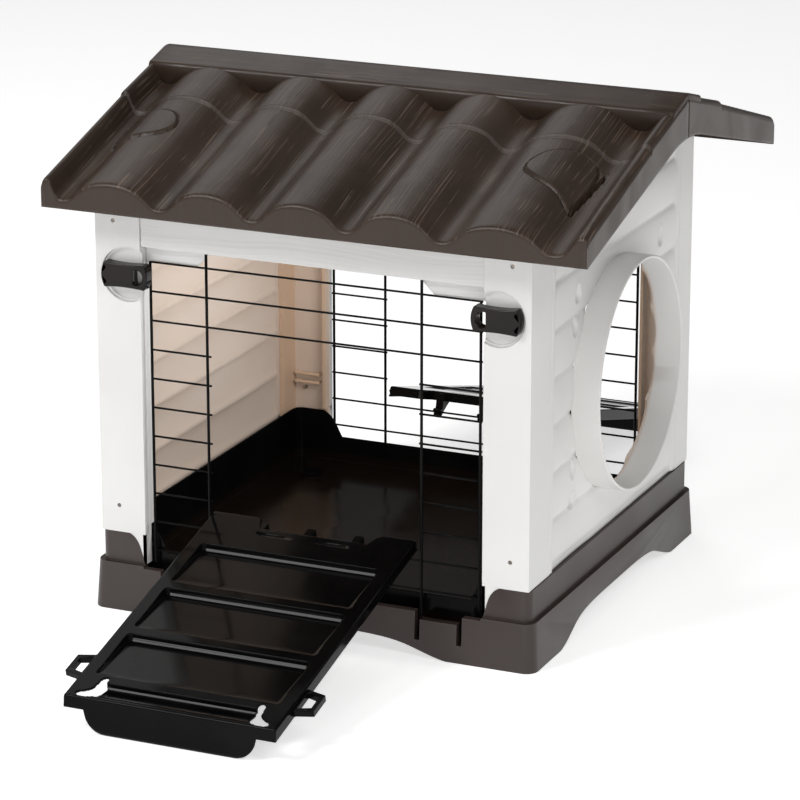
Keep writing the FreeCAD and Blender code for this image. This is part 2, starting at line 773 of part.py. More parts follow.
def ramp_flat():
    # The ramp lying level: u runs away from the coop along -Y, w is up.
    edge_low = -ramp_edge
    parts = [ramp_block(ramp_half_x, 0, ramp_length, -ramp_plate, 0)]
    for side in (-1, 1):
        parts.append(box(side * ramp_half_x, side * (ramp_half_x - ramp_plate), -6, -ramp_length,
                         edge_low, -1))
    parts.append(ramp_block(ramp_half_x, ramp_length - ramp_plate, ramp_length, edge_low + 4, -1))
    parts.append(ramp_block(ramp_half_x - 6, 6, 6 + ramp_plate, edge_low + 2, -1))
    body = fuse(parts)
    for index in range(riser_count):
        start = riser_first + index * riser_pitch
        end = min(start + riser_pitch - riser_gap, ramp_length - ramp_plate)
        half = pan_half
        if index == riser_count - 1:
            half = pan_half_last
        pan = prism([V(-half, -start, 0.5), V(-half, -start, -pan_depth), V(-half, -end, -pan_shallow),
                     V(-half, -end, 0.5)], V(2 * half, 0, 0))
        out = half + 2.5
        under = prism([V(-out, -start + 2.5, -1.5), V(-out, -start + 2.5, -pan_depth - 2.5),
                       V(-out, -end - 2.5, -pan_shallow - 2.3), V(-out, -end - 2.5, -1.5)],
                      V(2 * out, 0, 0))
        body = body.fuse(under).cut(pan)
    slope = (ramp_foot_u - ramp_length) / -ramp_foot_w
    bend_w = ramp_foot_w + 8
    line = [(-foot_top_half, -1.0), (-foot_half - 10, bend_w), (-foot_half, ramp_foot_w),
            (foot_half, ramp_foot_w), (foot_half + 10, bend_w), (foot_top_half, -1.0)]
    skirt = prism([V(x, -ramp_length + w * slope, w) for x, w in line], V(0, ramp_plate, 0))
    hooks = []
    for x in hook_xs:
        ring = rod(hook_radius, V(x - hook_half, -ramp_hook_u, ramp_hook_w),
                   V(x + hook_half, -ramp_hook_u, ramp_hook_w))
        web = box(x - hook_half, x + hook_half, -ramp_hook_u - hook_radius, -ramp_hook_u - 1.5,
                  ramp_hook_w, -1)
        hooks.append(ring.fuse(web))
    body = fuse([body, skirt] + hooks)
    reach = hook_half + 2
    for x in hook_xs:
        eye = rod(bar_radius + gap, V(x - reach, -ramp_hook_u, ramp_hook_w),
                  V(x + reach, -ramp_hook_u, ramp_hook_w))
        mouth = box(x - reach, x + reach, -ramp_hook_u, -ramp_hook_u + 8,
                    ramp_hook_w - bar_radius + 0.1, ramp_hook_w + bar_radius - 0.1)
        body = body.cut(eye).cut(mouth)
    for side in (-1, 1):
        x = side * (ramp_half_x - finger_inset)
        half = finger_size / 2
        finger_y = -ramp_length + finger_end
        body = body.cut(box(x - half, x + half, finger_y + finger_size, finger_y, -20, 3))
        body = body.cut(box(side * upper_slot_xs[0], side * upper_slot_xs[1], -upper_slot_us[0],
                            -upper_slot_us[1], -5, 2))
        body = body.cut(box(side * edge_slot_xs[0], side * edge_slot_xs[1], 1, -edge_slot_u, -5, 2))
    return body.removeSplitter()


def ramp_ears():
    # A carrying loop on each long side of the ramp.
    ears = []
    end = ear_start + ear_length
    for side in (-1, 1):
        root = side * ramp_half_x
        tip = side * (ramp_half_x + ear_reach)
        outer = [V(root, -ear_start, -12), V(tip, -ear_start - 6, -12),
                 V(tip, -end + 6, -12), V(root, -end, -12)]
        inner_tip = tip - side * ear_bar
        inside = [V(root - side, -ear_start - ear_bar, -13), V(inner_tip, -ear_start - ear_bar - 6, -13),
                  V(inner_tip, -end + ear_bar + 6, -13), V(root - side, -end + ear_bar, -13)]
        loop = prism(outer, V(0, 0, 8)).cut(prism(inside, V(0, 0, 10)))
        root_bar = box(root, root + side * 3, -ear_start, -end, -12, -4)
        ears.append(fuse([loop, root_bar]))
    return Part.makeCompound(ears)


def ramp_angle(hook_z):
    run = ramp_foot_u - ramp_hook_u
    drop = ramp_hook_w - ramp_foot_w
    reach = math.hypot(run, drop)
    return math.degrees(math.asin((hook_z - ramp_foot_lift) / reach) - math.atan2(drop, run))


def on_front(shape):
    # Hangs a level ramp piece on the second bar of the front wires.
    hook_z = low_bar_z + bar_pitch
    body = moved(shape, V(0, ramp_hook_u, -ramp_hook_w))
    body.rotate(V(0, 0, 0), V(1, 0, 0), ramp_angle(hook_z))
    return moved(body, V(0, -bar_y, hook_z))


def on_rear(shape):
    # Hangs a level ramp piece on the lowest full bar of the rear wires.
    hook_z = rear_flip_z - (top_bar_z - 2 * bar_pitch)
    body = moved(shape, V(0, ramp_hook_u, -ramp_hook_w))
    body.rotate(V(0, 0, 0), V(1, 0, 0), ramp_angle(hook_z))
    return moved(half_turn(body), V(0, bar_y, hook_z))


def all_nodes():
    front_left = post_front_left()
    rear_left = post_rear_left()
    button = turn_button()
    ramp = ramp_flat()
    ears = ramp_ears()
    return {
        "base_skirt": base_skirt(),
        "litter_tray": litter_tray(),
        "drain_plug": drain_plug(),
        "post_front_left": front_left,
        "post_front_right": mirror_x(front_left),
        "post_rear_left": rear_left,
        "post_rear_right": mirror_x(rear_left),
        "header_front": header_front(),
        "header_rear": header_rear(),
        "wall_left": wall_left(),
        "wall_right": wall_panel(True),
        "roof_shell": roof_shell(),
        "roof_hinge_pins": hinge_pins(),
        "mesh_front": mesh_panel(),
        "mesh_rear": rear_mesh(),
        "ramp_front": on_front(ramp),
        "ramp_rear": on_rear(ramp),
        "ramp_ears_front": on_front(ears),
        "ramp_ears_rear": on_rear(ears),
        "button_front_left": button,
        "button_front_right": mirror_x(button),
        "button_rear_left": mirror_y(button),
        "button_rear_right": mirror_x(mirror_y(button)),
        "button_pivots": button_pivots(),
        "post_screws": post_screws(),
    }


os.makedirs("parts", exist_ok=True)
for name, shape in all_nodes().items():
    placed = moved(shape, V(shift_x, shift_y, 0))
    placed.exportStep("parts/" + name + ".step")
    extent = placed.BoundBox
    low = [round(extent.XMin, 1), round(extent.YMin, 1), round(extent.ZMin, 1)]
    high = [round(extent.XMax, 1), round(extent.YMax, 1), round(extent.ZMax, 1)]
    print(name, "solids", len(placed.Solids), "valid", placed.isValid(), low, high)
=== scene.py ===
import math

import bmesh
import bpy
from mathutils import Matrix, Vector


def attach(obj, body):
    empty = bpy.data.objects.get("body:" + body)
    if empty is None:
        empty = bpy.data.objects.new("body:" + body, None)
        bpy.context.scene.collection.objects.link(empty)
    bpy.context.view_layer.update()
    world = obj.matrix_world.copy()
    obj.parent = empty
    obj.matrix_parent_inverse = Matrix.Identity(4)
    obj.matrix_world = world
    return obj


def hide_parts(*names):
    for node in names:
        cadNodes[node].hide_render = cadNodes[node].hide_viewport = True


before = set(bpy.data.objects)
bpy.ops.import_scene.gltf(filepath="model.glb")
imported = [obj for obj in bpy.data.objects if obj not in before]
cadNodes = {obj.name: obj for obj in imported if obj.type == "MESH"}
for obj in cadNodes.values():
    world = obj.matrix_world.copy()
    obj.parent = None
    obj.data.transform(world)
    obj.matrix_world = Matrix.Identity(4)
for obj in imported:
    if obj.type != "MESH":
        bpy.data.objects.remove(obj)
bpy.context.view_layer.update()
scene = bpy.context.scene
print("frame loaded:", len(cadNodes), "nodes")

milli = 0.001
houseShift = Vector((-24.0, 1.0, 0.0))  # the house stands a little to the left of the roof's middle


def easedCurve(points):
    # A smooth curve through (place, value) pairs, flat beyond its ends.
    slopes = []
    for i in range(len(points)):
        before = points[max(i - 1, 0)]
        after = points[min(i + 1, len(points) - 1)]
        slopes.append((after[1] - before[1]) / (after[0] - before[0]))
    slopes[0] = slopes[-1] = 0.0

    def value(place):
        if place <= points[0][0]:
            return points[0][1]
        for i in range(len(points) - 1):
            x0, y0 = points[i]
            x1, y1 = points[i + 1]
            if place <= x1:
                run = x1 - x0
                t = (place - x0) / run
                return ((2 * t ** 3 - 3 * t ** 2 + 1) * y0 + (t ** 3 - 2 * t ** 2 + t) * run * slopes[i]
                        + (3 * t ** 2 - 2 * t ** 3) * y1 + (t ** 3 - t ** 2) * run * slopes[i + 1])
        return points[-1][1]

    return value


def eased(value, start, end):
    # 0 before start, 1 after end, and smooth between them.
    t = min(max((value - start) / (end - start), 0.0), 1.0)
    return t * t * (3 - 2 * t)


def spaced(start, end, step):
    # Places from start up to, but not including, end.
    count = max(1, round(abs(end - start) / step))
    return [start + (end - start) * i / count for i in range(count)]


def outlineDistance(outline, x, y):
    # Distance to a closed outline, positive inside it.
    inside = False
    nearest = 1e9
    for i in range(len(outline)):
        x0, y0 = outline[i - 1]
        x1, y1 = outline[i]
        dx, dy = x1 - x0, y1 - y0
        t = min(max(((x - x0) * dx + (y - y0) * dy) / (dx * dx + dy * dy), 0.0), 1.0)
        nearest = min(nearest, math.hypot(x - x0 - t * dx, y - y0 - t * dy))
        if (y0 > y) != (y1 > y) and x < x0 + (y - y0) * dx / dy:
            inside = not inside
    return nearest if inside else -nearest


def roundedOutline(outline, passes=3):
    # Cuts the corners of an outline again and again, so it turns into a smooth curve.
    for _ in range(passes):
        cut = []
        for i in range(len(outline)):
            ax, ay = outline[i - 1]
            bx, by = outline[i]
            cut.append((ax * 0.75 + bx * 0.25, ay * 0.75 + by * 0.25))
            cut.append((ax * 0.25 + bx * 0.75, ay * 0.25 + by * 0.75))
        outline = cut
    return outline


def mappedGrid(columns, rows, place):
    # A grid whose corners are set from the lists of column and row values.
    bm = bmesh.new()
    bmesh.ops.create_grid(bm, x_segments=len(columns) - 1, y_segments=len(rows) - 1, size=0.5)
    for vert in bm.verts:
        i = round((vert.co.x + 0.5) * (len(columns) - 1))
        j = round((vert.co.y + 0.5) * (len(rows) - 1))
        vert.co = place(columns[i], rows[j])
    return bm


def cleaned(bm, distance=2e-6):
    bmesh.ops.remove_doubles(bm, verts=bm.verts, dist=distance)
    bmesh.ops.dissolve_degenerate(bm, edges=bm.edges, dist=distance)
    bmesh.ops.recalc_face_normals(bm, faces=bm.faces)
    return bm


def placedPiece(bm, name, look, body, nodes=(), sharp=35.0):
    mesh = bpy.data.meshes.new(name)
    bm.to_mesh(mesh)
    bm.free()
    mesh.materials.append(look)
    mesh.shade_smooth()
    if sharp:
        mesh.set_sharp_from_angle(angle=math.radians(sharp))
    piece = bpy.data.objects.new(name, mesh)
    scene.collection.objects.link(piece)
    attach(piece, body)
    if nodes:
        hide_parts(*nodes)
    return piece


def addThickness(piece, amount):
    shell = piece.modifiers.new("thickness", "SOLIDIFY")
    shell.thickness = amount * milli
    shell.offset = -1.0


def addBevel(piece, width, segments=3, angle=32.0):
    bevel = piece.modifiers.new("bevel", "BEVEL")
    bevel.width = width * milli
    bevel.segments = segments
    bevel.limit_method = "ANGLE"
    bevel.angle_limit = math.radians(angle)
    bevel.harden_normals = True
    bevel.miter_outer = "MITER_ARC"


def mergedCopy(node):
    # A closed copy of a CAD node with its flat triangles joined into whole faces.
    bm = bmesh.new()
    bm.from_mesh(cadNodes[node].data)
    bmesh.ops.remove_doubles(bm, verts=bm.verts, dist=1e-5)
    bmesh.ops.dissolve_degenerate(bm, edges=bm.edges, dist=1e-5)
    bmesh.ops.dissolve_limit(bm, angle_limit=math.radians(0.6), verts=bm.verts, edges=bm.edges)
    return bm


def softened(node, look, body, width, segments=3, angle=32.0, sharp=35.0):
    # Stands for a CAD node, with its sharp edges rounded as moulded plastic has them.
    piece = placedPiece(mergedCopy(node), "soft_" + node, look, body, [node], sharp)
    addBevel(piece, width, segments, angle)
    return piece


def feed(tree, socket, value):
    # Links a value that another node gives, or sets a plain one.
    if isinstance(value, bpy.types.NodeSocket):
        tree.links.new(value, socket)
    else:
        socket.default_value = value


def addNode(tree, kind, settings=None, **inputs):
    node = tree.nodes.new(kind)
    for key, value in (settings or {}).items():
        setattr(node, key, value)
    for key, value in inputs.items():
        feed(tree, node.inputs[int(key[1:]) if key[0] == "i" and key[1:].isdigit() else key], value)
    return node


def mathNode(tree, operation, *values):
    node = tree.nodes.new("ShaderNodeMath")
    node.operation = operation
    for i, value in enumerate(values):
        feed(tree, node.inputs[i], value)
    return node.outputs[0]


def mixColour(tree, share, first, second):
    node = tree.nodes.new("ShaderNodeMix")
    node.data_type = "RGBA"
    for index, value in ((0, share), (6, first), (7, second)):
        feed(tree, node.inputs[index], value)
    return node.outputs[2]


def ranged(tree, value, low, high, outLow=0.0, outHigh=1.0):
    node = addNode(tree, "ShaderNodeMapRange", {"interpolation_type": "SMOOTHSTEP"}, i0=value, i1=low,
                   i2=high, i3=outLow, i4=outHigh)
    return node.outputs[0]


def noiseOf(tree, vector, scale, detail=2.0, rough=0.5):
    node = addNode(tree, "ShaderNodeTexNoise", None, Vector=vector, Scale=scale, Detail=detail, Roughness=rough)
    return node.outputs["Fac"]


def newGroup(name, inputs, outputs):
    group = bpy.data.node_groups.new(name, "ShaderNodeTree")
    for label, kind, start in inputs:
        socket = group.interface.new_socket(name=label, in_out="INPUT", socket_type=kind)
        if start is not None:
            socket.default_value = start
    for label, kind in outputs:
        group.interface.new_socket(name=label, in_out="OUTPUT", socket_type=kind)
    return group, group.nodes.new("NodeGroupInput"), group.nodes.new("NodeGroupOutput")


def placedGroup(tree, group, **inputs):
    node = tree.nodes.new("ShaderNodeGroup")
    node.node_tree = group
    for key, value in inputs.items():
        feed(tree, node.inputs[key], value)
    return node


def brushedGrainGroup():
    # Fine wood strokes that run along the second axis and wander a little.
    group, start, end = newGroup(
        "brushedGrain",
        [("Vector", "NodeSocketVector", None), ("Across", "NodeSocketFloat", 420.0),
         ("Along", "NodeSocketFloat", 9.0), ("Wander", "NodeSocketFloat", 0.006)],
        [("Strokes", "NodeSocketFloat"), ("Grain", "NodeSocketFloat")])
    vector = start.outputs["Vector"]
    wander = noiseOf(group, vector, 5.0, 1.0)
    centred = mathNode(group, "SUBTRACT", wander, 0.5)
    sway = mathNode(group, "MULTIPLY", centred, start.outputs["Wander"])
    parts = addNode(group, "ShaderNodeSeparateXYZ", None, Vector=vector)
    swayed = mathNode(group, "ADD", parts.outputs[0], mathNode(group, "MULTIPLY", sway, 6.0))
    across = mathNode(group, "MULTIPLY", swayed, start.outputs["Across"])
    along = mathNode(group, "MULTIPLY", parts.outputs[1], start.outputs["Along"])
    lifted = mathNode(group, "MULTIPLY", parts.outputs[2], start.outputs["Along"])
    stretched = addNode(group, "ShaderNodeCombineXYZ", None, X=across, Y=along, Z=lifted).outputs[0]
    fine = noiseOf(group, stretched, 1.0, 3.0, 0.6)
    patches = noiseOf(group, vector, 22.0, 2.0)
    strokes = mathNode(group, "MULTIPLY", ranged(group, fine, 0.57, 0.64), ranged(group, patches, 0.40, 0.60))
    group.links.new(strokes, end.inputs["Strokes"])
    group.links.new(fine, end.inputs["Grain"])
    return group


def mouldedSkinGroup():
    # Slow changes of tone and a fine pebbled surface, as on moulded plastic.
    group, start, end = newGroup(
        "mouldedSkin",
        [("Vector", "NodeSocketVector", None), ("Cloud", "NodeSocketFloat", 7.0),
         ("Pebble", "NodeSocketFloat", 900.0)],
        [("Tone", "NodeSocketFloat"), ("Height", "NodeSocketFloat")])
    cloud = noiseOf(group, start.outputs["Vector"], start.outputs["Cloud"], 3.0)
    pebble = noiseOf(group, start.outputs["Vector"], start.outputs["Pebble"], 2.0)
    group.links.new(cloud, end.inputs["Tone"])
    group.links.new(pebble, end.inputs["Height"])
    return group


def edgeHighlightGroup():
    # Where the surface turns sharply, its edge is painted lighter: a painted highlight along sharp edges.
    group, start, end = newGroup("edgeHighlight", [("Reach", "NodeSocketFloat", 0.002)],
                                 [("Edge", "NodeSocketFloat")])
    bevel = addNode(group, "ShaderNodeBevel", {"samples": 4}, Radius=start.outputs["Reach"])
    geometry = group.nodes.new("ShaderNodeNewGeometry")
    dot = addNode(group, "ShaderNodeVectorMath", {"operation": "DOT_PRODUCT"}, i0=bevel.outputs[0],
                  i1=geometry.outputs["Normal"])
    group.links.new(ranged(group, dot.outputs["Value"], 0.995, 0.90), end.inputs["Edge"])
    return group


def insideGroup():
    # 1 on faces that look towards the middle of the cabin and stand inside it, where the walls get painted shade.
    group, start, end = newGroup("insideFaces", [("Vector", "NodeSocketVector", None)],
                                 [("Inside", "NodeSocketFloat")])
    facing = group.nodes.new("ShaderNodeTexCoord").outputs["Normal"]
    inward = addNode(group, "ShaderNodeVectorMath", {"operation": "SUBTRACT"}, i0=(-0.024, 0.001, 0.309),
                     i1=start.outputs["Vector"])
    dot = addNode(group, "ShaderNodeVectorMath", {"operation": "DOT_PRODUCT"}, i0=inward.outputs[0], i1=facing)
    parts = addNode(group, "ShaderNodeSeparateXYZ", None, Vector=inward.outputs[0])
    sideways = ranged(group, mathNode(group, "ABSOLUTE", parts.outputs[0]), 0.300, 0.292)
    frontward = ranged(group, parts.outputs[1], 0.262, 0.254)
    rearward = ranged(group, parts.outputs[1], -0.282, -0.274)
    lengthways = mathNode(group, "MULTIPLY", frontward, rearward)
    both = mathNode(group, "MULTIPLY", sideways, lengthways)
    inside = mathNode(group, "MULTIPLY", both, ranged(group, dot.outputs["Value"], 0.0, 0.05))
    group.links.new(inside, end.inputs["Inside"])
    return group


brushedGrain = brushedGrainGroup()
mouldedSkin = mouldedSkinGroup()
edgeHighlight = edgeHighlightGroup()
insideBox = insideGroup()


def newLook(name, roughness, specular=0.5, coat=0.0, coatRoughness=0.1, metallic=0.0):
    material = bpy.data.materials.new(name)
    material.use_nodes = True
    tree = material.node_tree
    shader = tree.nodes["Principled BSDF"]
    shader.inputs["Roughness"].default_value = roughness
    shader.inputs["Specular IOR Level"].default_value = specular
    shader.inputs["Coat Weight"].default_value = coat
    shader.inputs["Coat Roughness"].default_value = coatRoughness
    shader.inputs["Metallic"].default_value = metallic
    place = tree.nodes.new("ShaderNodeTexCoord").outputs["Object"]
    return material, tree, shader, place


def bumped(tree, shader, height, strength, distance):
    bump = addNode(tree, "ShaderNodeBump", None, Strength=strength, Distance=distance, Height=height)
    tree.links.new(bump.outputs[0], shader.inputs["Normal"])


# deep and main are random tone, and deep also serves as painted shade on upright faces; stroke is grain; edge is
# a painted highlight colour for sharp edges
roofTones = {"deep": (0.033, 0.019, 0.012, 1), "main": (0.060, 0.038, 0.027, 1),
             "stroke": (0.24, 0.175, 0.135, 1), "edge": (0.30, 0.25, 0.22, 1)}


def roofLook(name, turned=False):
    material, tree, shader, place = newLook(name, 0.36, 0.42)
    if turned:  # the ridge's strokes run along the ridge
        place = addNode(tree, "ShaderNodeMapping", None, Vector=place,
                        Rotation=(0, 0, math.radians(90))).outputs[0]
    grain = placedGroup(tree, brushedGrain, Vector=place, Across=620.0, Along=4.0, Wander=0.0022)
    skin = placedGroup(tree, mouldedSkin, Vector=place, Cloud=9.0, Pebble=1500.0)
    edge = placedGroup(tree, edgeHighlight, Reach=0.0018)
    tone = mixColour(tree, ranged(tree, skin.outputs["Tone"], 0.3, 0.7), roofTones["deep"], roofTones["main"])
    tone = mixColour(tree, mathNode(tree, "MULTIPLY", ranged(tree, grain.outputs["Grain"], 0.35, 0.6), 0.25),
                     tone, roofTones["main"])
    facing = addNode(tree, "ShaderNodeSeparateXYZ", None,
                     Vector=tree.nodes.new("ShaderNodeTexCoord").outputs["Normal"]).outputs[2]
    topSide = ranged(tree, facing, 0.15, 0.5)  # the upright faces are smooth; they are also painted darker below, as painted shade
    strokes = mathNode(tree, "MULTIPLY", mathNode(tree, "MULTIPLY", grain.outputs["Strokes"], 0.55), topSide)
    tone = mixColour(tree, strokes, tone, roofTones["stroke"])
    # painted shade: upright and steep faces are darkened toward the deep tone
    tone = mixColour(tree, ranged(tree, facing, 0.5, 0.15, 0.0, 0.75), tone, roofTones["deep"])
    # painted highlight: sharp edges are mixed toward the light edge tone
    tone = mixColour(tree, mathNode(tree, "MULTIPLY", edge.outputs["Edge"], 0.5), tone, roofTones["edge"])
    tree.links.new(tone, shader.inputs["Base Color"])
    rough = ranged(tree, grain.outputs["Grain"], 0.3, 0.7, 0.30, 0.46)
    tree.links.new(rough, shader.inputs["Roughness"])
    height = mathNode(tree, "ADD", mathNode(tree, "MULTIPLY", grain.outputs["Grain"], 0.9),
                      mathNode(tree, "MULTIPLY", skin.outputs["Height"], 0.15))
    bumped(tree, shader, height, 0.35, 0.0012)
    return material


# deep and main are random tone; edge is a painted highlight colour for sharp edges
baseTones = {"deep": (0.032, 0.021, 0.018, 1), "main": (0.044, 0.030, 0.026, 1), "edge": (0.12, 0.10, 0.09, 1)}


def baseLook():
    material, tree, shader, place = newLook("basePlastic", 0.42, 0.5)
    skin = placedGroup(tree, mouldedSkin, Vector=place, Cloud=6.0, Pebble=1300.0)
    edge = placedGroup(tree, edgeHighlight, Reach=0.0015)
    tone = mixColour(tree, ranged(tree, skin.outputs["Tone"], 0.3, 0.7), baseTones["deep"], baseTones["main"])
    # painted highlight: sharp edges are mixed toward the light edge tone
    tone = mixColour(tree, mathNode(tree, "MULTIPLY", edge.outputs["Edge"], 0.4), tone, baseTones["edge"])
    tree.links.new(tone, shader.inputs["Base Color"])
    tree.links.new(ranged(tree, skin.outputs["Tone"], 0.3, 0.7, 0.36, 0.48), shader.inputs["Roughness"])
    bumped(tree, shader, skin.outputs["Height"], 0.12, 0.0006)
    return material


# the darker orange tone here is painted shade for faces inside the cabin
wallTones = {"main": (0.83, 0.825, 0.81, 1), "soft": (0.77, 0.76, 0.745, 1), "cabinShade": (0.62, 0.40, 0.24, 1),
             "mark": (0.55, 0.52, 0.49, 1)}


def wallLook(name, grained=False, cabinShadeShare=0.0):
    material, tree, shader, place = newLook(name, 0.34, 0.5)
    skin = placedGroup(tree, mouldedSkin, Vector=place, Cloud=4.0, Pebble=1100.0)
    tone = mixColour(tree, ranged(tree, skin.outputs["Tone"], 0.3, 0.7), wallTones["soft"], wallTones["main"])
    height = mathNode(tree, "MULTIPLY", skin.outputs["Height"], 0.3)
    if grained:
        swapped = addNode(tree, "ShaderNodeMapping", None, Vector=place,
                          Rotation=(math.radians(90), 0, math.radians(90))).outputs[0]
        grain = placedGroup(tree, brushedGrain, Vector=swapped, Across=260.0, Along=4.0, Wander=0.005)
        marks = mathNode(tree, "MULTIPLY", ranged(tree, grain.outputs["Grain"], 0.45, 0.62), 0.18)
        tone = mixColour(tree, marks, tone, wallTones["mark"])
        height = mathNode(tree, "ADD", height, grain.outputs["Grain"])
    if cabinShadeShare:
        # painted shade: faces inside the cabin are tinted a darker warm tone, as the light inside the cabin falls
        inside = placedGroup(tree, insideBox, Vector=place)
        share = mathNode(tree, "MULTIPLY", inside.outputs["Inside"], cabinShadeShare)
        tone = mixColour(tree, share, tone, wallTones["cabinShade"])
    tree.links.new(tone, shader.inputs["Base Color"])
    tree.links.new(ranged(tree, skin.outputs["Tone"], 0.3, 0.7, 0.30, 0.42), shader.inputs["Roughness"])
    bumped(tree, shader, height, 0.12, 0.0008)
    return material


blackTones = {"main": (0.0022, 0.0022, 0.0024, 1), "worn": (0.0045, 0.0043, 0.0043, 1),
              "floor": (0.008, 0.005, 0.0035, 1), "knob": (0.012, 0.008, 0.007, 1)}


def blackLook(name, roughness, coat=0.0, lowBrown=False, specular=0.2, base="main"):
    material, tree, shader, place = newLook(name, roughness, specular, coat, 0.06)
    skin = placedGroup(tree, mouldedSkin, Vector=place, Cloud=11.0, Pebble=700.0)
    worn = ranged(tree, skin.outputs["Tone"], 0.35, 0.7)
    tone = mixColour(tree, worn, blackTones[base], blackTones["worn"])
    if lowBrown:  # the tray turns a brown-black below a set height, towards its floor
        parts = addNode(tree, "ShaderNodeSeparateXYZ", None, Vector=place)
        low = ranged(tree, parts.outputs[2], 0.056, 0.048)
        tone = mixColour(tree, mathNode(tree, "MULTIPLY", low, 0.8), tone, blackTones["floor"])
    tree.links.new(tone, shader.inputs["Base Color"])
    tree.links.new(ranged(tree, skin.outputs["Tone"], 0.3, 0.7, roughness * 0.8, roughness * 1.3),
                   shader.inputs["Roughness"])
    bumped(tree, shader, skin.outputs["Height"], 0.04, 0.0004)
    return material


steelTones = {"dull": (0.20, 0.17, 0.15, 1), "bright": (0.42, 0.38, 0.34, 1)}


def steelLook():
    material, tree, shader, place = newLook("screwSteel", 0.32, 0.5, metallic=0.9)
    skin = placedGroup(tree, mouldedSkin, Vector=place, Cloud=60.0, Pebble=2000.0)
    tone = mixColour(tree, ranged(tree, skin.outputs["Tone"], 0.3, 0.7), steelTones["dull"], steelTones["bright"])
    tree.links.new(tone, shader.inputs["Base Color"])
    bumped(tree, shader, skin.outputs["Height"], 0.1, 0.0003)
    return material


roofPlastic = roofLook("roofPlastic")
ridgePlastic = roofLook("ridgePlastic", turned=True)
basePlastic = baseLook()
# the share below tints the faces inside the cabin with painted shade
postPlastic = wallLook("postPlastic", cabinShadeShare=0.85)
headerPlastic = wallLook("headerPlastic", grained=True, cabinShadeShare=0.5)
panelPlastic = wallLook("panelPlastic", cabinShadeShare=0.55)
trayPlastic = blackLook("trayPlastic", 0.17, lowBrown=True, specular=0.08)
rampPlastic = blackLook("rampPlastic", 0.10, specular=0.08)
buttonPlastic = blackLook("buttonPlastic", 0.10, specular=0.22, base="knob")
wirePaint = blackLook("wirePaint", 0.40, specular=0.12)
screwSteel = steelLook()
print("finishes built")


roof = {"halfX": 365.0, "halfY": 344.0, "midY": 1.0, "rise": 0.296, "eave": 541.8, "valley": 554.0,
        "tile": 26.5, "step": 3.2, "stepY": 129.5, "upperRise": 0.265, "capY": 52.5, "nose": 4.6,
        "gableY": 57.0, "gableRise": 0.262, "sheet": 4.0, "padLift": 2.4, "grooveDeep": 2.6,
        "sideNose": 2.4, "slotDeep": 7.0, "slotHalf": 3.2, "slotStart": 156, "slotEnd": 262}
tileEdges = [-336.0, -201.0, -74.5, 51.5, 176.0, 321.0]
tileCurve = easedCurve([(0.0, 0.0), (0.04, 0.02), (0.08, 0.09), (0.13, 0.27), (0.18, 0.49), (0.23, 0.69),
                        (0.30, 0.85), (0.39, 0.955), (0.5, 1.0)])
leftRim = easedCurve([(0.0, 18.0), (2.0, 21.5), (5.0, 24.4), (8.5, 25.0), (11.5, 22.5), (14.0, 17.0),
                      (17.0, 10.0), (20.0, 4.0), (24.0, 0.8), (29.0, 0.0)])
rightRim = easedCurve([(0.0, 18.0), (2.0, 21.5), (5.0, 23.8), (10.0, 24.2), (15.0, 21.5), (20.0, 15.5),
                       (25.0, 8.5), (31.0, 3.0), (38.0, 0.6), (44.0, 0.0)])
leftPad = roundedOutline([(-332, -146), (-309, -153), (-286, -160), (-262, -168), (-251, -190), (-257, -210),
                          (-272, -222), (-300, -224), (-330, -231)])
rightPad = roundedOutline([(313, -154), (287, -153), (262, -158), (237, -171), (227, -196), (232, -212),
                           (255, -228), (285, -241), (300, -252), (309, -262)])
slotLine = easedCurve([(156.0, 316.0), (205.0, 312.0), (262.0, 307.0)])


def tileTop(x):
    if x <= tileEdges[0]:
        return leftRim(x + roof["halfX"])
    if x >= tileEdges[-1]:
        return rightRim(roof["halfX"] - x)
    for start, end in zip(tileEdges, tileEdges[1:]):
        if x <= end:
            share = (x - start) / (end - start)
            return roof["tile"] * tileCurve(min(share, 1.0 - share))


def slotDepth(x, away):
    # The open end of the right-hand pad, a dark gap beside the rim.
    start, end = roof["slotStart"], roof["slotEnd"]
    if not start < away < end:
        return 0.0
    across = roof["slotHalf"] - abs(x - slotLine(away) - 2.0)
    ends = eased(away, start, start + 4) * (1 - eased(away, end - 4, end))
    return roof["slotDeep"] * eased(across, 0.0, 1.2) * ends


def padLift(x, away):
    lift = 0.0
    for outline, low, high in ((leftPad, -336, -240), (rightPad, 220, 322)):
        if low < x < high and 140 < away < 270:
            d = outlineDistance(outline, x, -away)
            lift += roof["padLift"] * eased(d, -0.2, 1.8)
            lift -= roof["grooveDeep"] * eased(d, -2.8, -1.2) * (1 - eased(d, -0.8, 0.2))
    return lift - slotDepth(x, away)


def roofTop(x, away):
    # Height of the tiles at a distance from the ridge line: the upper row overlaps the lower.
    above = roof["stepY"] - away
    z = roof["valley"] + tileTop(x) + (roof["halfY"] - away) * roof["rise"]
    z -= max(above, 0.0) * (roof["rise"] - roof["upperRise"])
    z += roof["step"] * eased(above, -0.6, 1.2)
    z -= roof["grooveDeep"] * eased(above, -3.6, -1.8) * (1 - eased(above, -1.2, -0.5))
    return z + padLift(x, away)


def gableFoot(away):
    foot = roof["eave"] + (roof["halfY"] - max(away, roof["gableY"])) * roof["gableRise"]
    if away < roof["gableY"]:
        foot += roof["gableRise"] * (roof["gableY"] ** 2 - away ** 2) / (2 * roof["gableY"])
    return foot


def foldPlaces(limit, nose):
    # From the foot of a turned-down edge up to and over its rounded corner: (place, drop, share).
    places = [(limit, nose, share) for share in (1.0, 0.92, 0.6, 0.3, 0.08)]
    for angle in (90, 72, 54, 36, 18):
        a = math.radians(angle)
        places.append((limit - nose + nose * math.sin(a), nose * (1 - math.cos(a)), 0.0))
    return places


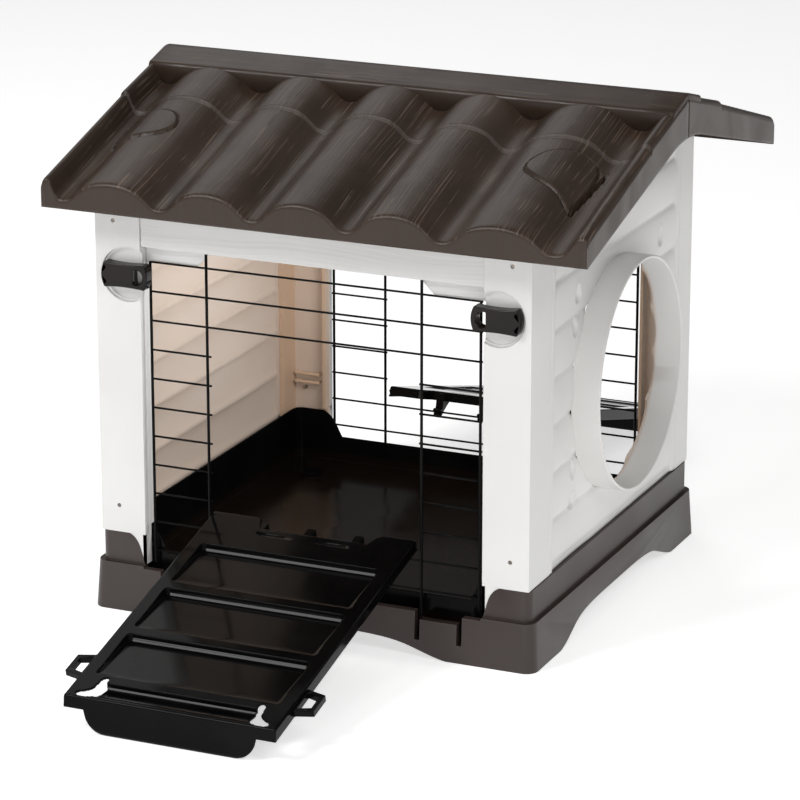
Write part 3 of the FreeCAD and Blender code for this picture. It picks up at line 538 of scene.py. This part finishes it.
def roofSheet(side):
    # One slope with its front board and the two gable boards, side is -1 in front and 1 behind.
    nose = roof["sideNose"]
    left = [(-x, drop, share) for x, drop, share in foldPlaces(roof["halfX"], nose)]
    flat = spaced(nose - roof["halfX"], -335, 1.4) + spaced(-335, -238, 1.7) + spaced(-238, 222, 4.6)
    flat += spaced(222, 335, 1.7) + spaced(335, roof["halfX"] - nose, 1.6)
    right = [(-x, drop, share) for x, drop, share in left][::-1]
    columns = left + [(x, 0.0, 0.0) for x in flat] + right
    rows = foldPlaces(roof["halfY"], roof["nose"])
    rows += [(y, 0.0, 0.0) for y in spaced(roof["halfY"] - roof["nose"], 266, 5.0)]
    rows += [(y, 0.0, 0.0) for y in spaced(266, 145, 1.7)]
    rows += [(y, 0.0, 0.0) for y in spaced(145, 134, 2.5) + spaced(134, 127, 0.5) + spaced(127, 0, 6.0)]
    rows += [(0.0, 0.0, 0.0)]

    def place(column, row):
        x, dropX, shareX = column
        away, dropY, shareY = row
        top = roofTop(x, away) - dropX - dropY
        share = max(shareX, shareY)
        foot = roof["eave"] if shareY >= shareX else gableFoot(away)
        z = top * (1 - share) + foot * share
        return Vector((x, roof["midY"] + side * away, z)) * milli

    return cleaned(mappedGrid(columns, rows, place))


cap = {"edgeZ": 670.2, "ridgeZ": 681.6, "round": 6.5, "end": 1.0, "footZ": 636.0, "sheet": 3.0}


def ridgeCap():
    # The ridge board: its section is drawn across and stretched along the ridge.
    half = roof["halfX"] - cap["end"]
    section = [(-roof["capY"], cap["footZ"])]
    for angle in (0, 18, 36, 54, 72, 90):
        a = math.radians(angle)
        section.append((-roof["capY"] + cap["round"] * (1 - math.cos(a)),
                        cap["edgeZ"] - cap["round"] * (1 - math.sin(a))))
    section += [(-13.0, cap["ridgeZ"] - 2.4), (-6.0, cap["ridgeZ"] - 0.6), (0.0, cap["ridgeZ"])]
    section += [(-y, z) for y, z in section[:-1]][::-1]
    bm = bmesh.new()
    places = [(-half, 3.0), (-half + 0.9, 0.9), (-half + 3.0, 0.0)]
    places += [(x, 0.0) for x in spaced(-half + 3.0, half - 3.0, 40.0)[1:]]
    places += [(-x, sink) for x, sink in places[:3]][::-1]
    rings = []
    for x, sink in places:
        ring = []
        for y, z in section:
            inward = Vector((x, y * (1 - sink / roof["capY"]) + roof["midY"], max(z - sink, cap["footZ"])))
            ring.append(bm.verts.new(inward * milli))
        rings.append([bm.edges.new(pair) for pair in zip(ring, ring[1:])])
        if len(rings) > 1:
            bmesh.ops.bridge_loops(bm, edges=rings[-2] + rings[-1])
    for edges in (rings[0], rings[-1]):
        ends = [edges[0].verts[0], edges[-1].verts[1]]
        bmesh.ops.contextual_create(bm, geom=edges + [bm.edges.new(ends)])
    return cleaned(bm)


for side, label in ((-1, "front"), (1, "rear")):
    slope = placedPiece(roofSheet(side), "roof_slope_" + label, roofPlastic, "roof",
                        ["roof_shell"] if side < 0 else (), sharp=50)
    addThickness(slope, roof["sheet"])
ridge = placedPiece(ridgeCap(), "ridge_cap", ridgePlastic, "roof", (), sharp=45)
addThickness(ridge, cap["sheet"])

hinge = {"y": 294.5, "z": 548.0, "radius": 7.0, "half": 12.0, "places": (-137.75, 113.75), "webThick": 10.0,
         "webTall": 40.0, "round": 0.8}


def roofLugs():
    bm = bmesh.new()
    for x in hinge["places"]:
        ends = bmesh.ops.create_circle(bm, cap_ends=True, radius=hinge["radius"] * milli, segments=28)["verts"]
        bmesh.ops.rotate(bm, verts=ends, matrix=Matrix.Rotation(math.radians(90), 3, "Y"))
        bmesh.ops.translate(bm, verts=ends, vec=Vector((x - hinge["half"], hinge["y"], hinge["z"])) * milli)
        face = ends[0].link_faces[0]
        run = bmesh.ops.extrude_face_region(bm, geom=[face])
        moved = [v for v in run["geom"] if isinstance(v, bmesh.types.BMVert)]
        bmesh.ops.translate(bm, verts=moved, vec=(2 * hinge["half"] * milli, 0, 0))
        web = bmesh.ops.create_cube(bm, size=1.0)["verts"]
        bmesh.ops.scale(bm, verts=web,
                        vec=Vector((2 * hinge["half"], hinge["webThick"], hinge["webTall"])) * milli)
        middle = Vector((x, hinge["y"], hinge["z"] + hinge["webTall"] / 2))
        bmesh.ops.translate(bm, verts=web, vec=middle * milli)
    bmesh.ops.recalc_face_normals(bm, faces=bm.faces)
    return bm


lugs = placedPiece(roofLugs(), "roof_hinge_lugs", roofPlastic, "roof")
addBevel(lugs, hinge["round"], 2)
print("roof built")


panel = {"outer": 296.5, "bulge": 6.0, "skin": 3.0, "pitch": 61.5, "crease": 110.0, "front": -218.7,
         "rear": 238.7, "foot": 105.2, "ringY": 8.5, "ringZ": 309.0, "ringRadius": 152.0, "ringWall": 4.0,
         "ringOut": 331.6, "ringIn": 0.8, "border": 9.0, "ripple": 1.3, "holeGap": 1.5}
dimple = {"places": [(165, 447), (-131, 447), (-138, 405), (-141, 219), (-141, 180)], "halfY": 9.0,
          "halfZ": 13.0, "deep": 4.5, "rim": 1.8}


def boardFace(y, z, dented=True):
    # How far the panel's outer face stands from the middle of the house.
    share = ((z - panel["crease"]) / panel["pitch"]) % 1.0
    bulge = (1 - (2 * share - 1) ** 2) ** 0.5
    ripple = panel["ripple"] * math.sin(y * 0.021 + z * 0.013) * math.sin(y * 0.008 - z * 0.019 + 1.0)
    edge = min(y - panel["front"], panel["rear"] - y)
    reach = panel["border"] - 3.5 * math.sin(math.pi * share)
    taper = eased(edge, reach, reach + 7.0)
    x = panel["outer"] - panel["bulge"] * taper + (panel["bulge"] - 0.3) * taper * bulge
    x -= max(0.0, ripple) * taper
    if dented:
        for dy, dz in dimple["places"]:
            d = math.hypot((y - dy) / dimple["halfY"], (z - dz) / dimple["halfZ"])
            if d < 1.3:
                x -= dimple["deep"] * eased(1.0 - d, 0.0, 0.5)
                x = min(x + dimple["rim"] * eased(d, 0.88, 1.03) * (1 - eased(d, 1.05, 1.3)), panel["outer"])
    return x


def roofLine(y):
    # Underside of the roof's valleys above the panel.
    return roof["valley"] - 5.2 + (roof["halfY"] - abs(y)) * roof["rise"]


def sidePanel(side, entrance):
    # side is 1 for the right-hand panel. entrance leaves a round hole in it.
    columns = spaced(panel["front"], panel["front"] + 20, 1.6)
    columns += spaced(panel["front"] + 20, panel["rear"] - 20, 3.2)
    columns += spaced(panel["rear"] - 20, panel["rear"], 1.6) + [panel["rear"]]
    rows = [i / 170 for i in range(171)]

    def place(y, share):
        z = panel["foot"] + share * (roofLine(y) - panel["foot"])
        return Vector((side * boardFace(y, z, entrance), y, z)) * milli + houseShift * milli

    bm = mappedGrid(columns, rows, place)
    if entrance:
        centre = Vector((0, panel["ringY"], panel["ringZ"])) + houseShift
        gone = []
        for face in bm.faces:
            middle = face.calc_center_median() / milli - centre
            if math.hypot(middle.y, middle.z) < panel["ringRadius"] - 2.5:
                gone.append(face)
        bmesh.ops.delete(bm, geom=gone, context="FACES")
        for edge in [e for e in bm.edges if e.is_boundary]:
            for vert in edge.verts:
                reach = vert.co / milli - centre
                span = math.hypot(reach.y, reach.z)
                if span < panel["ringRadius"] + 6.0:  # the hole's own edge is drawn in to the ring
                    hole = panel["ringRadius"] - panel["holeGap"]
                    y, z = [centre[i] + reach[i] * hole / span for i in (1, 2)]
                    vert.co = Vector((vert.co.x / milli, y, z)) * milli
    bmesh.ops.recalc_face_normals(bm, faces=bm.faces)
    outward = sum((f.normal.x * f.calc_area() for f in bm.faces))
    if outward * side < 0:
        bmesh.ops.reverse_faces(bm, faces=bm.faces)
    return bm


def entranceRing():
    # The round entrance: a short tube with a rounded lip and a wavy inner end.
    bm = bmesh.new()
    outer = panel["ringRadius"]
    inner = outer - panel["ringWall"]
    out = panel["ringOut"]
    inside = panel["outer"] - panel["bulge"]
    outline = [(inside, inner), (out - 1.6, inner)]
    for angle in (150, 120, 90, 60, 30, 0):
        a = math.radians(angle)
        outline.append((out - 1.6 + 1.6 * math.sin(a), (inner + outer) / 2 + 2.0 * math.cos(a)))
    outline += [(out - 1.6, outer), (inside + 3.0, outer)]
    verts = [bm.verts.new(Vector((x, 0, r)) * milli) for x, r in outline]
    edges = [bm.edges.new(pair) for pair in zip(verts, verts[1:])]
    bmesh.ops.spin(bm, geom=verts + edges, cent=(0, 0, 0), axis=(1, 0, 0), angle=math.tau, steps=144,
                   use_merge=True)
    centre = Vector((0, panel["ringY"], panel["ringZ"]))
    for vert in bm.verts:
        vert.co += (centre + houseShift) * milli
        x, y, z = vert.co / milli - houseShift
        if x < inside + 1.0:
            vert.co.x = (boardFace(y, z, False) + panel["ringIn"] + houseShift.x) * milli
    ends = [e for e in bm.edges if e.is_boundary]
    bmesh.ops.bridge_loops(bm, edges=ends)
    bmesh.ops.remove_doubles(bm, verts=bm.verts, dist=1e-6)
    bmesh.ops.recalc_face_normals(bm, faces=bm.faces)
    return bm


rightPanel = placedPiece(sidePanel(1, True), "panel_right", panelPlastic, "house",
                         ["wall_right"], sharp=0)
addThickness(rightPanel, panel["skin"])
ring = placedPiece(entranceRing(), "entrance_ring", panelPlastic, "house", sharp=50)
leftPanel = placedPiece(sidePanel(-1, False), "panel_left", panelPlastic, "house",
                        ["wall_left"], sharp=0)
addThickness(leftPanel, panel["skin"])
print("side panels built")


rounds = {"post": 1.6, "header": 1.2, "base": 2.8, "tray": 1.1, "plug": 0.6, "ears": 1.8}
for node in ("post_front_left", "post_front_right", "post_rear_left", "post_rear_right"):
    softened(node, postPlastic, "house", rounds["post"])
for node in ("header_front", "header_rear"):
    softened(node, headerPlastic, "house", rounds["header"])
softened("base_skirt", basePlastic, "house", rounds["base"])

foot = {"front": 286.2, "thick": 2.6, "outer": 272.0, "inner": 234.0, "low": 64.0, "top": 104.6,
        "returnDeep": 16.0, "returnThick": 4.0, "returnTop": 116.0}


def addBlock(bm, low, high):
    for vert in bmesh.ops.create_cube(bm, size=1.0)["verts"]:
        place = [low[i] if vert.co[i] < 0 else high[i] for i in range(3)]
        vert.co = (Vector(place) + houseShift) * milli


def postFeet():
    # The posts reach down behind the curved shoulders of the base.
    bm = bmesh.new()
    for sideX in (-1, 1):
        for sideY in (-1, 1):
            inner = foot["inner"]
            for outer, deep, top in ((foot["outer"], foot["thick"], foot["top"]),
                                     (inner + foot["returnThick"], foot["returnDeep"], foot["returnTop"])):
                x = sorted((sideX * outer, sideX * inner))
                y = sorted((sideY * foot["front"], sideY * (foot["front"] - deep)))
                addBlock(bm, (x[0], y[0], foot["low"]), (x[1], y[1], top))
    return bm


placedPiece(postFeet(), "post_feet", postPlastic, "house", sharp=30)


web = {"x": (142.0, 212.0), "y": (277.5, 280.0), "z": (21.0, 50.0)}


def notchBacks():
    # Dark webs that close the skirt behind its wire notches.
    bm = bmesh.new()
    for sideX in (-1, 1):
        for sideY in (-1, 1):
            x = sorted(sideX * value for value in web["x"])
            y = sorted(sideY * value for value in web["y"])
            addBlock(bm, (x[0], y[0], web["z"][0]), (x[1], y[1], web["z"][1]))
    return bm


placedPiece(notchBacks(), "skirt_webs", trayPlastic, "house", sharp=30)
softened("litter_tray", trayPlastic, "house", rounds["tray"])
softened("drain_plug", rampPlastic, "plug", rounds["plug"])


ramp = {"halfX": 140.0, "length": 430.0, "edgeDown": 15.0, "nose": 2.2, "sheet": 2.6, "panHalf": 123.0,
        "lastHalf": 107.0, "first": 83.0, "pitch": 103.5, "panLong": 91.5, "count": 4, "deep": 9.5,
        "shallow": 1.6, "panCorner": 7.0, "armTop": 10.0, "middleTop": 33.0, "footDown": 43.0,
        "footSlope": 0.253, "footHalf": 86.0, "footTop": 113.0, "hookU": 13.5, "hookW": -27.6,
        "footU": 440.9, "lift": 0.4, "rimX": 127, "slotX": 96, "middleX": 60, "startDown": 13.0,
        "armSlotX": (28, 62), "armSlotU": (44, 49)}
rampHooks = {"front": (-272.5, 119.8), "rear": (272.5, 129.8)}
panWall = easedCurve([(0.0, 0.0), (0.5, 0.03), (1.0, 0.14), (1.5, 0.58), (2.0, 0.66), (5.2, 0.985),
                      (6.2, 1.0)])
fingerSlot = roundedOutline([(100, 383), (108, 385), (110, 398), (110.5, 408), (118, 414), (127, 418),
                             (127, 425), (119, 427), (104, 425), (98, 415), (98.5, 398)], 2)


def rampSlope(label):
    # The angle at which the ramp hangs from its wire with its foot on the ground.
    run = ramp["footU"] - ramp["hookU"]
    drop = ramp["hookW"] + ramp["footDown"]
    reach = math.hypot(run, drop)
    return math.asin((rampHooks[label][1] - ramp["lift"]) / reach) - math.atan2(drop, run)


def rampPlace(label, x, u, w):
    # Turns the level ramp (u runs away from the coop, w is up) to where it hangs.
    hookY, hookZ = rampHooks[label]
    angle = rampSlope(label)
    y = -(u - ramp["hookU"])
    z = w - ramp["hookW"]
    y, z = y * math.cos(angle) - z * math.sin(angle), y * math.sin(angle) + z * math.cos(angle)
    if label == "rear":
        x, y = -x, -y
    return (Vector((x, hookY + y, hookZ + z)) + houseShift) * milli


def panDepth(x, u):
    for index in range(ramp["count"]):
        start = ramp["first"] + index * ramp["pitch"]
        last = index == ramp["count"] - 1
        end = ramp["length"] - 5 if last else start + ramp["panLong"]
        if start < u < end:
            half = ramp["lastHalf"] if last else ramp["panHalf"]
            soft = ramp["panCorner"]
            dx = max(abs(x) - (half - soft), 0.0)
            du = max(start + soft - u, u - (end - soft), 0.0)
            d = soft - math.hypot(dx, du)
            if dx == 0 or du == 0:
                d = min(half - abs(x), u - start, end - u)
            fall = (u - start) / (end - start)
            deep = ramp["deep"] * (1 - fall) + ramp["shallow"] * fall
            return deep * panWall(max(d, 0.0))
    return 0.0


def skirtDown(x):
    # How far the lower end turns down: a deep foot with rounded lower corners in the middle.
    off = abs(x)
    if off >= ramp["footTop"]:
        return ramp["edgeDown"]
    deep = ramp["footDown"] - 0.6
    if off <= ramp["footHalf"]:
        return deep
    t = (off - ramp["footHalf"]) / (ramp["footTop"] - ramp["footHalf"])
    return ramp["edgeDown"] + (deep - ramp["edgeDown"]) * math.sqrt(1 - t * t)


def rampSheet(label):
    half = ramp["halfX"]
    left = [(-x, drop, share) for x, drop, share in foldPlaces(half, ramp["nose"])]
    rim, slot, middle = -ramp["rimX"], -ramp["slotX"], -ramp["middleX"]
    flank = spaced(-half + ramp["nose"], rim, 1.6) + spaced(rim, slot, 1.1) + spaced(slot, middle, 6.0)
    flat = flank + spaced(middle, -middle, 12.0) + [-x for x in flank + [middle]][::-1]
    columns = left + [(x, 0.0, 0.0) for x in flat] + [(-x, drop, share) for x, drop, share in left][::-1]
    rows = [("start", drop, share, at) for at, drop, share in foldPlaces(ramp["nose"], ramp["nose"])]
    rows += [("start", 0.0, 0.0, -at) for at in spaced(0, 66, 4.0)]
    u = ramp["first"] - 14.0
    while u < ramp["length"] - ramp["nose"] - 0.1:
        rows.append(("plain", 0.0, 0.0, u))
        past = (u - ramp["first"] + 1.2) % ramp["pitch"]
        if u > ramp["first"] - 1.3 and past < 7.6:  # a pan's steep upper wall
            u += 0.45
        elif u > 380:
            u += 1.2
        elif past > ramp["panLong"] - 6:
            u += 1.1
        else:
            u += min(4.5, ramp["pitch"] - past)
    rows += [("end", drop, share, at) for at, drop, share in foldPlaces(ramp["length"], ramp["nose"])][::-1]

    def place(column, row):
        x, dropX, shareX = column
        kind, dropU, shareU, at = row
        dip = eased(x, -74, -64) * (1 - eased(x, 84, 92))
        topU = ramp["armTop"] + (ramp["middleTop"] - ramp["armTop"]) * dip
        u = at
        if kind == "start":
            reach = (ramp["first"] - 14.0 - topU) / 66.0
            u = topU + ramp["nose"] - at * (1.0 if at > 0 else reach)
        w = -panDepth(x, u) - dropX - dropU
        if shareX > shareU or (shareX > 0 and kind == "plain"):
            w = w * (1 - shareX) - ramp["edgeDown"] * shareX
        elif shareU > 0:
            foot = skirtDown(x) if kind == "end" else ramp["startDown"]
            w = w * (1 - shareU) - foot * shareU
            if kind == "end":
                u += ramp["footSlope"] * (foot * shareU)
        return rampPlace(label, x, u, w)

    bm = mappedGrid(columns, rows, place)
    gone = []
    for face in bm.faces:
        x, u = levelPlace(label, sum((v.co for v in face.verts), Vector()) / len(face.verts))
        inArmSlot = (ramp["armSlotX"][0] < abs(x) < ramp["armSlotX"][1]
                     and ramp["armSlotU"][0] < u < ramp["armSlotU"][1])
        if inArmSlot or outlineDistance(fingerSlot, abs(x), u) > 0:
            gone.append(face)
    bmesh.ops.delete(bm, geom=gone, context="FACES")
    cleaned(bm)
    up = sum(f.normal.z * f.calc_area() for f in bm.faces)
    if up < 0:
        bmesh.ops.reverse_faces(bm, faces=bm.faces)
    return bm


def levelPlace(label, point):
    # The way back from a hanging place to x and u on the level ramp.
    hookY, hookZ = rampHooks[label]
    spot = point / milli - houseShift
    x, y, z = spot.x, spot.y - hookY, spot.z - hookZ
    if label == "rear":
        x, y = -x, -y
    angle = rampSlope(label)
    return x, ramp["hookU"] - (y * math.cos(angle) + z * math.sin(angle))


hook = {"places": (-66.0, 0.0, 66.0), "turn": 270, "armHalf": 5.5, "armStart": 17.0, "armEnd": 40.0,
        "armTop": -2.0, "armLow": -30.0, "armTip": -12.0}


def rampHookShapes(label):
    # Three open hooks on short arms that sit over the wire.
    bm = bmesh.new()
    for x in hook["places"]:
        outline = [(1.5, -6.0), (4.6, -6.0), (5.0, -5.6), (5.0, 5.6), (4.6, 6.0), (1.5, 6.0)]
        verts = [bm.verts.new((across, r, 0.0)) for r, across in outline]
        edges = [bm.edges.new((verts[i - 1], verts[i])) for i in range(len(verts))]
        turned = bmesh.ops.spin(bm, geom=verts + edges, cent=(0, 0, 0), axis=(1, 0, 0),
                                angle=math.radians(hook["turn"]), steps=24)
        first = set(verts)
        last = {v for v in turned["geom_last"] if isinstance(v, bmesh.types.BMVert)}
        for end in (first, last):
            bmesh.ops.contextual_create(bm, geom=[e for e in bm.edges if end.issuperset(e.verts)])
        for vert in bm.verts:
            if vert.tag:
                continue
            vert.tag = True
            vert.co = rampPlace(label, x + vert.co.x, ramp["hookU"] - vert.co.y, ramp["hookW"] + vert.co.z)
        block = bmesh.ops.create_cube(bm, size=1.0)["verts"]
        for vert in block:
            vert.tag = True
            across, along, high = vert.co * 2
            u = hook["armStart"] if along < 0 else hook["armEnd"]
            under = hook["armLow"] if along < 0 else hook["armTip"]
            w = hook["armTop"] if high > 0 else under
            vert.co = rampPlace(label, x + across * hook["armHalf"], u, w)
    return cleaned(bm)


for label in ("front", "rear"):
    sheet = placedPiece(rampSheet(label), "ramp_sheet_" + label, rampPlastic, label + "_ramp",
                        ["ramp_" + label], sharp=38)
    addThickness(sheet, ramp["sheet"])
    placedPiece(rampHookShapes(label), "ramp_hooks_" + label, rampPlastic, label + "_ramp")
    softened("ramp_ears_" + label, rampPlastic, label + "_ramp", rounds["ears"])


knob = {"x": 252.5, "z": 449.6, "radius": 32.5, "half": 16.5, "waist": 1.8, "face": 297.0, "back": 281.2,
        "windowX": 12.5, "windowHalf": 10.0, "windowLong": 9.5, "crown": 0.00055, "round": 2.2}


def knobOutline():
    # Round ends and long sides drawn in a little, seen from the front.
    points = []
    reach = knob["radius"]
    corner = math.asin(knob["half"] / reach)
    for i in range(13):
        a = -corner + 2 * corner * i / 12
        points.append((reach * math.cos(a), reach * math.sin(a)))
    edge = reach * math.cos(corner)
    for i in range(1, 16):
        x = edge - 2 * edge * i / 16
        points.append((x, knob["half"] - knob["waist"] * (1 - (x / edge) ** 2)))
    return points + [(-x, -z) for x, z in points]


def windowOutline():
    points = [(knob["windowX"], -knob["windowHalf"])]
    for i in range(11):
        a = math.radians(-80 + 160 * i / 10)
        points.append((knob["windowX"] + 4.0 + knob["windowLong"] * math.cos(a),
                       knob["windowHalf"] * math.sin(a)))
    points.append((knob["windowX"], knob["windowHalf"]))
    return points


def turnKnob(sideX, sideY):
    # The window end lies over the wire.
    bm = bmesh.new()
    edges = []
    for outline in (knobOutline(), windowOutline()):
        loop = [bm.verts.new((-sideX * x, sideY * knob["back"], z)) for x, z in outline]
        edges += [bm.edges.new((loop[i - 1], loop[i])) for i in range(len(loop))]
    bmesh.ops.triangle_fill(bm, edges=edges, use_beauty=True)
    lifted = bmesh.ops.extrude_face_region(bm, geom=bm.faces[:])["geom"]
    for item in lifted:
        if isinstance(item, bmesh.types.BMVert):
            item.co.y = sideY * (knob["face"] - knob["crown"] * item.co.x ** 2)
    for vert in bm.verts:
        vert.co = (vert.co + Vector((sideX * knob["x"], 0, knob["z"])) + houseShift) * milli
    bmesh.ops.recalc_face_normals(bm, faces=bm.faces)
    return bm


for end, sideY in (("front", -1), ("rear", 1)):
    for hand, sideX in (("left", -1), ("right", 1)):
        place = "%s_%s" % (end, hand)
        turnPiece = placedPiece(turnKnob(sideX, sideY), "knob_" + place, buttonPlastic, place + "_button",
                                ["button_" + place], sharp=50)
        addBevel(turnPiece, knob["round"], 4, 50)


wire = {"stouter": 0.35}


def thickerWire(node):
    # The wire panel with its rods drawn a little stouter, as painted wire looks.
    bm = bmesh.new()
    bm.from_mesh(cadNodes[node].data)
    bmesh.ops.remove_doubles(bm, verts=bm.verts, dist=1e-6)
    bmesh.ops.recalc_face_normals(bm, faces=bm.faces)
    bm.normal_update()
    moves = []
    for vert in bm.verts:
        side = Vector()
        for face in vert.link_faces:
            if face.calc_area() > 0 and abs(face.normal.x) < 0.99 and abs(face.normal.z) < 0.99:
                side += face.normal
        moves.append((vert, side.normalized() * wire["stouter"] * milli))
    for vert, move in moves:
        vert.co += move
    return bm


for node in ("mesh_front", "mesh_rear"):
    placedPiece(thickerWire(node), node.replace("mesh", "wire"), wirePaint, "house", [node],
                sharp=40)
for node in ("roof_hinge_pins", "button_pivots", "post_screws"):
    cadNodes[node].material_slots[0].material = screwSteel
print("frame, base, ramps and fittings built")


view = {"place": (1.91616, -4.40510, 1.74199), "yaw": 23.802, "pitch": -17.397, "lens": 172.48, "sensor": 36.0}
cameraData = bpy.data.cameras.new("camera")
cameraData.lens = view["lens"]
cameraData.sensor_width = view["sensor"]
camera = bpy.data.objects.new("camera", cameraData)
scene.collection.objects.link(camera)
camera.location = view["place"]
camera.rotation_euler = (math.radians(90 + view["pitch"]), 0, math.radians(view["yaw"]))
scene.camera = camera

studio = {"world": 0.17, "sky": (1.0, 1.0, 1.0), "floor": (0.93, 0.93, 0.93), "floorGlow": 0.62}
lamps = [  # name, place, aim, width, power
    ("key", (-1.9, -3.3, 3.3), (-0.1, -0.3, 0.2), 1.25, 84),
    ("sheen", (-1.9, 2.0, 3.0), (0, 0, 0.5), 2.2, 15),
    ("right", (2.5, -2.0, 3.0), (0, 0, 0.3), 1.3, 30),
    ("cabin", (0.10, -0.05, 0.50), (-0.32, 0.02, 0.28), 0.25, 1.6),
    ("front", (1.4, -4.4, 1.3), (0, 0, 0.3), 1.6, 26)]

floorMesh = bmesh.new()
bmesh.ops.create_grid(floorMesh, x_segments=1, y_segments=1, size=9.0)
floorData = bpy.data.meshes.new("floor")
floorMesh.to_mesh(floorData)
floorMesh.free()
floor = bpy.data.objects.new("floor", floorData)
scene.collection.objects.link(floor)
floorLook, _, floorShader, _ = newLook("paleFloor", 0.9, 0.1)
floorShader.inputs["Base Color"].default_value = (*studio["floor"], 1)
floorShader.inputs["Emission Color"].default_value = (1, 1, 1, 1)
floorShader.inputs["Emission Strength"].default_value = studio["floorGlow"]
floorData.materials.append(floorLook)

world = bpy.data.worlds.new("studio")
scene.world = world
world.use_nodes = True
worldTree = world.node_tree
paths = worldTree.nodes.new("ShaderNodeLightPath")
seen = addNode(worldTree, "ShaderNodeBackground", None, Color=(*studio["sky"], 1), Strength=1.0)
lit = worldTree.nodes["Background"]
lit.inputs["Color"].default_value = (*studio["sky"], 1)
lit.inputs["Strength"].default_value = studio["world"]
mixer = worldTree.nodes.new("ShaderNodeMixShader")
worldTree.links.new(paths.outputs["Is Camera Ray"], mixer.inputs[0])
worldTree.links.new(lit.outputs[0], mixer.inputs[1])
worldTree.links.new(seen.outputs[0], mixer.inputs[2])
worldTree.links.new(mixer.outputs[0], worldTree.nodes["World Output"].inputs[0])

for name, place, aim, width, power in lamps:
    lampData = bpy.data.lights.new(name, "AREA")
    lampData.shape = "SQUARE"
    lampData.size = width
    lampData.energy = power
    lamp = bpy.data.objects.new(name, lampData)
    scene.collection.objects.link(lamp)
    lamp.location = place
    lamp.rotation_euler = (Vector(aim) - Vector(place)).to_track_quat("-Z", "Y").to_euler()
    lamp.visible_camera = name != "cabin"
    lamp.visible_glossy = name != "cabin"

scene.view_settings.view_transform = "Standard"
print("studio built")
